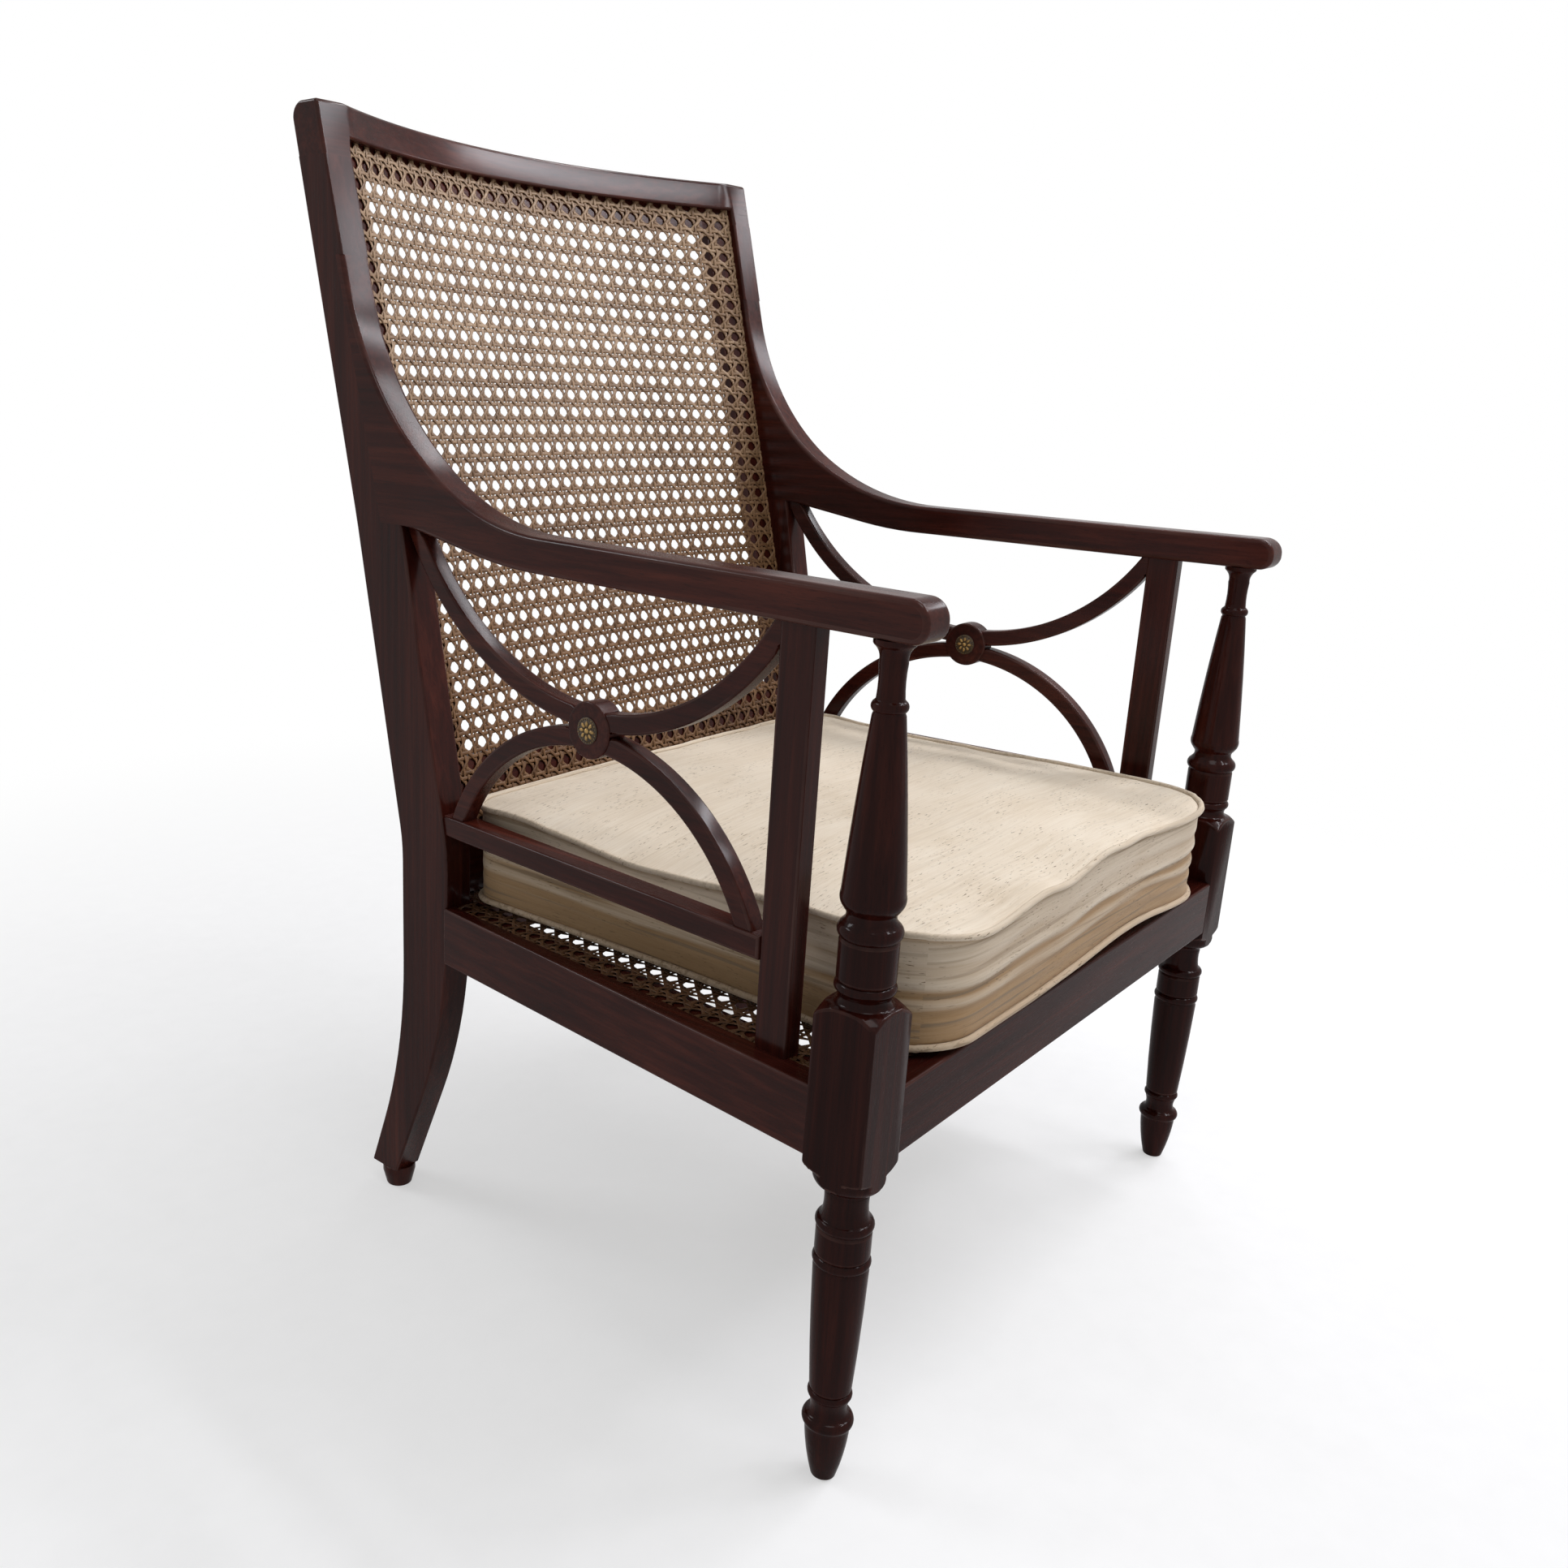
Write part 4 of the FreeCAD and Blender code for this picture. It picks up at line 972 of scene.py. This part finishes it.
THREAD = 0.0009
SILK_STOPS = (
    (0.32, (0.600, 0.495, 0.365)),
    (0.50, (0.690, 0.595, 0.470)),
    (0.66, (0.745, 0.665, 0.545)),
)
# Tint for dust and painted shade on the boxing and the piping
DUST_AND_SHADE_TINT = (0.52, 0.385, 0.25, 1.0)
# Colour of the painted shade in fine folds, and of the silk's dark flecks
FOLD_SHADE_COLOUR, FLECK_COLOUR = (0.250, 0.175, 0.105, 1.0), (0.150, 0.098, 0.052, 1.0)
# Frequencies per metre, along the slubs and twice across them
SLUBS, BARS, PALE_CLOUDS = (26.0, 620.0, 620.0), (5.0, 150.0, 150.0), (10.0, 13.0, 13.0)
FOLDS, FLECKS, FLECK_PATCHES = (3.5, 200.0, 200.0), (120.0, 760.0, 760.0), (14.0, 34.0, 34.0)


def raw_silk():
    """Plain weave with slubs along X, dark flecks, fine folds with painted shade along them, and darkening
    for dust and painted shade; the vector is in metres.
    """
    tree, given, out = surface_group("raw_silk", "Soiled")
    vector, dust_and_shade = given["Vector"], given["Soiled"]
    apart = put(tree, "ShaderNodeSeparateXYZ", {0: vector})
    warp, weft = (math(tree, "SINE", times(tree, apart.outputs[axis], 2.0 * pi / THREAD))
                  for axis in (0, 1))
    plain = times(tree, warp, weft)
    slub = speckle(tree, vector, SLUBS, detail=3.0, roughness=0.6)
    bar = speckle(tree, vector, BARS, detail=4.0)
    cloud = speckle(tree, vector, PALE_CLOUDS, detail=3.0)
    tone = plus(tree, times(tree, slub, 0.42), times(tree, bar, 0.20))
    tone = plus(tree, tone, times(tree, cloud, 0.38))
    colour = ramp(tree, tone, SILK_STOPS)
    # Dust streaks and painted shade, by the darkening amount
    streaky = times(tree, dust_and_shade, plus(tree, 0.55, times(tree, bar, 0.9)))
    colour = blend_colour(tree, streaky, colour, DUST_AND_SHADE_TINT, "MULTIPLY")
    # Fine folds: a bump, with painted shade along them as thin dark lines, stronger where the boxing is
    # painted darker
    fold = step_up(tree, speckle(tree, vector, FOLDS, detail=2.0), 0.54, 0.64)
    fold_strength = plus(tree, 0.08, times(tree, dust_and_shade, 0.85))
    fold = times(tree, fold, fold_strength, clamp=True)
    colour = blend_colour(tree, fold, colour, FOLD_SHADE_COLOUR)
    fleck = step_up(tree, speckle(tree, vector, FLECKS, detail=2.0), 0.61, 0.69)
    patch = step_up(tree, speckle(tree, vector, FLECK_PATCHES, detail=2.0), 0.40, 0.58)
    fleck = times(tree, times(tree, fleck, patch), 0.85)
    colour = blend_colour(tree, fleck, colour, FLECK_COLOUR)
    height = plus(tree, times(tree, plain, 0.35), times(tree, slub, 1.2))
    height = minus(tree, height, times(tree, fold, 3.0))
    rough = minus(tree, 0.86, times(tree, slub, 0.22))
    feed(tree, out, Color=colour, Roughness=rough, Height=height)
    return tree


RAW_SILK = raw_silk()


def silk_cover(name, source):
    """Raw silk whose threads follow the vector that source makes in the material's tree."""
    material, tree, shader = new_material(name, {"Specular IOR Level": 0.25, "Sheen Weight": 0.12,
                                                 "Sheen Roughness": 0.4})
    weave = put(tree, "ShaderNodeGroup", node_tree=RAW_SILK)
    feed(tree, weave, Vector=source(tree), Soiled=attribute(tree, "dust_and_shade"))
    feed(tree, shader, Base_Color=weave.outputs["Color"], Roughness=weave.outputs["Roughness"],
         Normal=bumped(tree, weave.outputs["Height"], 0.45, 0.0003))
    return material


def along_the_weave(tree):
    return put(tree, "ShaderNodeUVMap", uv_map="weave").outputs[0]


CUSHION_SILK = silk_cover("cushion_silk", along_the_weave)
PIPING_SILK = silk_cover("piping_silk", in_place)

cover_mesh, cover_groups = cushion_cover()
fill_cushion(cover_mesh, cover_groups)
crease_boxing(cover_mesh, cover_groups)
dent_top(cover_mesh, cover_groups)
smooth(cover_mesh, 180.0)
piping_lines = [[cover_mesh.vertices[n].co.copy() for n in cover_groups["boxing"][row]]
                for row in (0, -1)]
cushion = place_piece("seat_cushion_cover", cover_mesh, CUSHION_SILK, "cushion")
finer = cushion.modifiers.new("finer", "SUBSURF")
finer.levels = finer.render_levels = 1
keep_mesh(cushion)
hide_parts("seat_cushion")

PIPING_RADIUS, PIPING_OUT = 0.0026, 0.0016
# The piping is darkened like the boxing: a little on the upper one, more on the lower one
LOWER_PIPING_DARKENING, UPPER_PIPING_DARKENING = 0.6, 0.2
piping_path = bpy.data.curves.new("cushion_piping", "CURVE")
piping_path.dimensions = "3D"
piping_path.bevel_depth = PIPING_RADIUS
piping_path.bevel_resolution = 2
for line in piping_lines:
    spline = piping_path.splines.new("POLY")
    spline.points.add(len(line) - 1)
    for point, place in zip(spline.points, line):
        away = (Vector(place.xy) - CUSHION_MIDDLE).normalized() * PIPING_OUT
        point.co = (place.x + away.x, place.y + away.y, place.z, 1.0)
    spline.use_cyclic_u = True
piping_rough = bpy.data.objects.new("cushion_piping_path", piping_path)
bpy.context.scene.collection.objects.link(piping_rough)
piping_graph = bpy.context.evaluated_depsgraph_get()
piping_mesh = bpy.data.meshes.new_from_object(piping_rough.evaluated_get(piping_graph))
bpy.data.objects.remove(piping_rough)
smooth(piping_mesh, 180.0)
piping_darkening = piping_mesh.attributes.new("dust_and_shade", "FLOAT", "POINT").data
for spot_of_darkening, vert in zip(piping_darkening, piping_mesh.vertices):
    lower = vert.co.z < (LOWER_SEAM + UPPER_SEAM) / 2
    spot_of_darkening.value = LOWER_PIPING_DARKENING if lower else UPPER_PIPING_DARKENING
piping = place_piece("seat_cushion_piping", piping_mesh, PIPING_SILK, "cushion")

# Camera, floor and light
# A white studio, seen from the chair's left front corner. The narrow lamps stand where the polish mirrors
# them to the camera, along the crest, the sweep of the arms and the bows.
EYE = Vector((-1.0094, -0.72845, 0.7292))
YAW, PITCH, ROLL = 0.84613, 0.26841, 0.03410
SENSOR, FOCAL, SHIFT_X, SHIFT_Y = 36.0, 31.79, 0.1088, -0.01095
level_ahead = Vector((sin(YAW), cos(YAW), 0.0))
level_right = Vector((cos(YAW), -sin(YAW), 0.0))
ahead = level_ahead * cos(PITCH) - Vector((0, 0, sin(PITCH)))
tilted_up = level_ahead * sin(PITCH) + Vector((0, 0, cos(PITCH)))
right = level_right * cos(ROLL) + tilted_up * sin(ROLL)
up = tilted_up * cos(ROLL) - level_right * sin(ROLL)
lens = bpy.data.cameras.new("camera")
lens.sensor_width = SENSOR
lens.lens = FOCAL
lens.shift_x = SHIFT_X
lens.shift_y = SHIFT_Y
camera = bpy.data.objects.new("camera", lens)
turn = Matrix((right, up, -ahead)).transposed().to_4x4()
camera.matrix_world = Matrix.Translation(EYE) @ turn
bpy.context.scene.collection.objects.link(camera)
bpy.context.scene.camera = camera

WHITE = (1.0, 1.0, 1.0, 1.0)
FLOOR_STOPS = ((0.3, (0.88, 0.88, 0.88)), (0.7, (0.92, 0.92, 0.92)))
# Shadows show on the floor near the chair, and it fades to white between these distances
SHADOWS_TO, WHITE_FROM = 0.6, 1.8


def as_seen(tree):
    """1 for rays that show a thing, straight, mirrored or through glass; 0 for those that only light."""
    rays = put(tree, "ShaderNodeLightPath").outputs
    seen = math(tree, "MAXIMUM", rays["Is Camera Ray"], rays["Is Glossy Ray"])
    return math(tree, "MAXIMUM", seen, rays["Is Transmission Ray"])


floor_mesh = bpy.data.meshes.new("floor")
floor_mesh.from_pydata([(-6, -6, 0), (6, -6, 0), (6, 6, 0), (-6, 6, 0)], [], [(0, 1, 2, 3)])
floor = bpy.data.objects.new("floor", floor_mesh)
bpy.context.scene.collection.objects.link(floor)
floor_paint, floor_tree, floor_shader = new_material("studio_floor", {"Roughness": 0.9})
floor_place = in_place(floor_tree)
floor_grain = speckle(floor_tree, floor_place, (35.0, 35.0, 35.0), detail=3.0)
feed(floor_tree, floor_shader, Base_Color=ramp(floor_tree, floor_grain, FLOOR_STOPS))
floor_away = put(floor_tree, "ShaderNodeVectorMath", {0: floor_place}, operation="LENGTH").outputs["Value"]
floor_far = step_up(floor_tree, floor_away, SHADOWS_TO, WHITE_FROM)
floor_white = plus(floor_tree, 0.5, times(floor_tree, floor_far, 0.5))
floor_white = times(floor_tree, as_seen(floor_tree), floor_white)
floor_glow = put(floor_tree, "ShaderNodeEmission", {"Color": WHITE, "Strength": 1.0})
floor_mix = put(floor_tree, "ShaderNodeMixShader",
                {0: floor_white, 1: floor_shader.outputs[0], 2: floor_glow.outputs[0]})
floor_out = next(node for node in floor_tree.nodes if node.type == "OUTPUT_MATERIAL")
floor_tree.links.new(floor_mix.outputs[0], floor_out.inputs["Surface"])
floor_mesh.materials.append(floor_paint)


DAYLIGHT, SKYLIGHT, LAMPLIGHT = (0.95, 0.95, 1.0), (0.95, 0.96, 1.0), (1.0, 1.0, 1.0)
# Each lamp with its place, what it is aimed at, its width and height, its power and its colour
LAMPS = (
    ("window", (1.15, -1.07, 2.2), (0.0, 0.1, 0.7), (2.0, 0.13), 30.0, DAYLIGHT),
    ("skylight", (1.26, 0.0, 2.45), (-0.27, 0.16, 0.7), (1.2, 0.14), 14.0, SKYLIGHT),
    ("doorway", (1.22, -1.32, 1.88), (-0.26, 0.2, 0.8), (0.3, 0.3), 6.0, DAYLIGHT),
    ("far_window", (2.2, -0.6, 1.8), (0.27, 0.2, 0.8), (0.9, 0.24), 11.0, DAYLIGHT),
    ("back_window", (-1.15, 1.75, 2.0), (-0.2, 0.1, 0.5), (0.9, 0.3), 13.0, SKYLIGHT),
    ("ceiling", (-0.35, -0.7, 2.6), (-0.1, -0.15, 0.4), (0.8, 0.8), 10.0, LAMPLIGHT),
)
for name, place, aim, size, power, tint in LAMPS:
    light = bpy.data.lights.new(name, "AREA")
    light.shape = "RECTANGLE"
    light.size, light.size_y = size
    light.energy = power
    light.color = tint
    lamp = bpy.data.objects.new(name, light)
    lamp.location = place
    lamp.rotation_euler = (Vector(aim) - Vector(place)).to_track_quat("-Z", "Y").to_euler()
    bpy.context.scene.collection.objects.link(lamp)

SKY_GLOW = 0.32
world = bpy.data.worlds.new("studio")
world.use_nodes = True
bpy.context.scene.world = world
sky = world.node_tree
sky.nodes.clear()
strength = plus(sky, SKY_GLOW, times(sky, as_seen(sky), 1.0 - SKY_GLOW))
glow = put(sky, "ShaderNodeBackground", {"Color": WHITE, "Strength": strength})
put(sky, "ShaderNodeOutputWorld", {"Surface": glow.outputs[0]})
bpy.context.scene.view_settings.view_transform = "Standard"
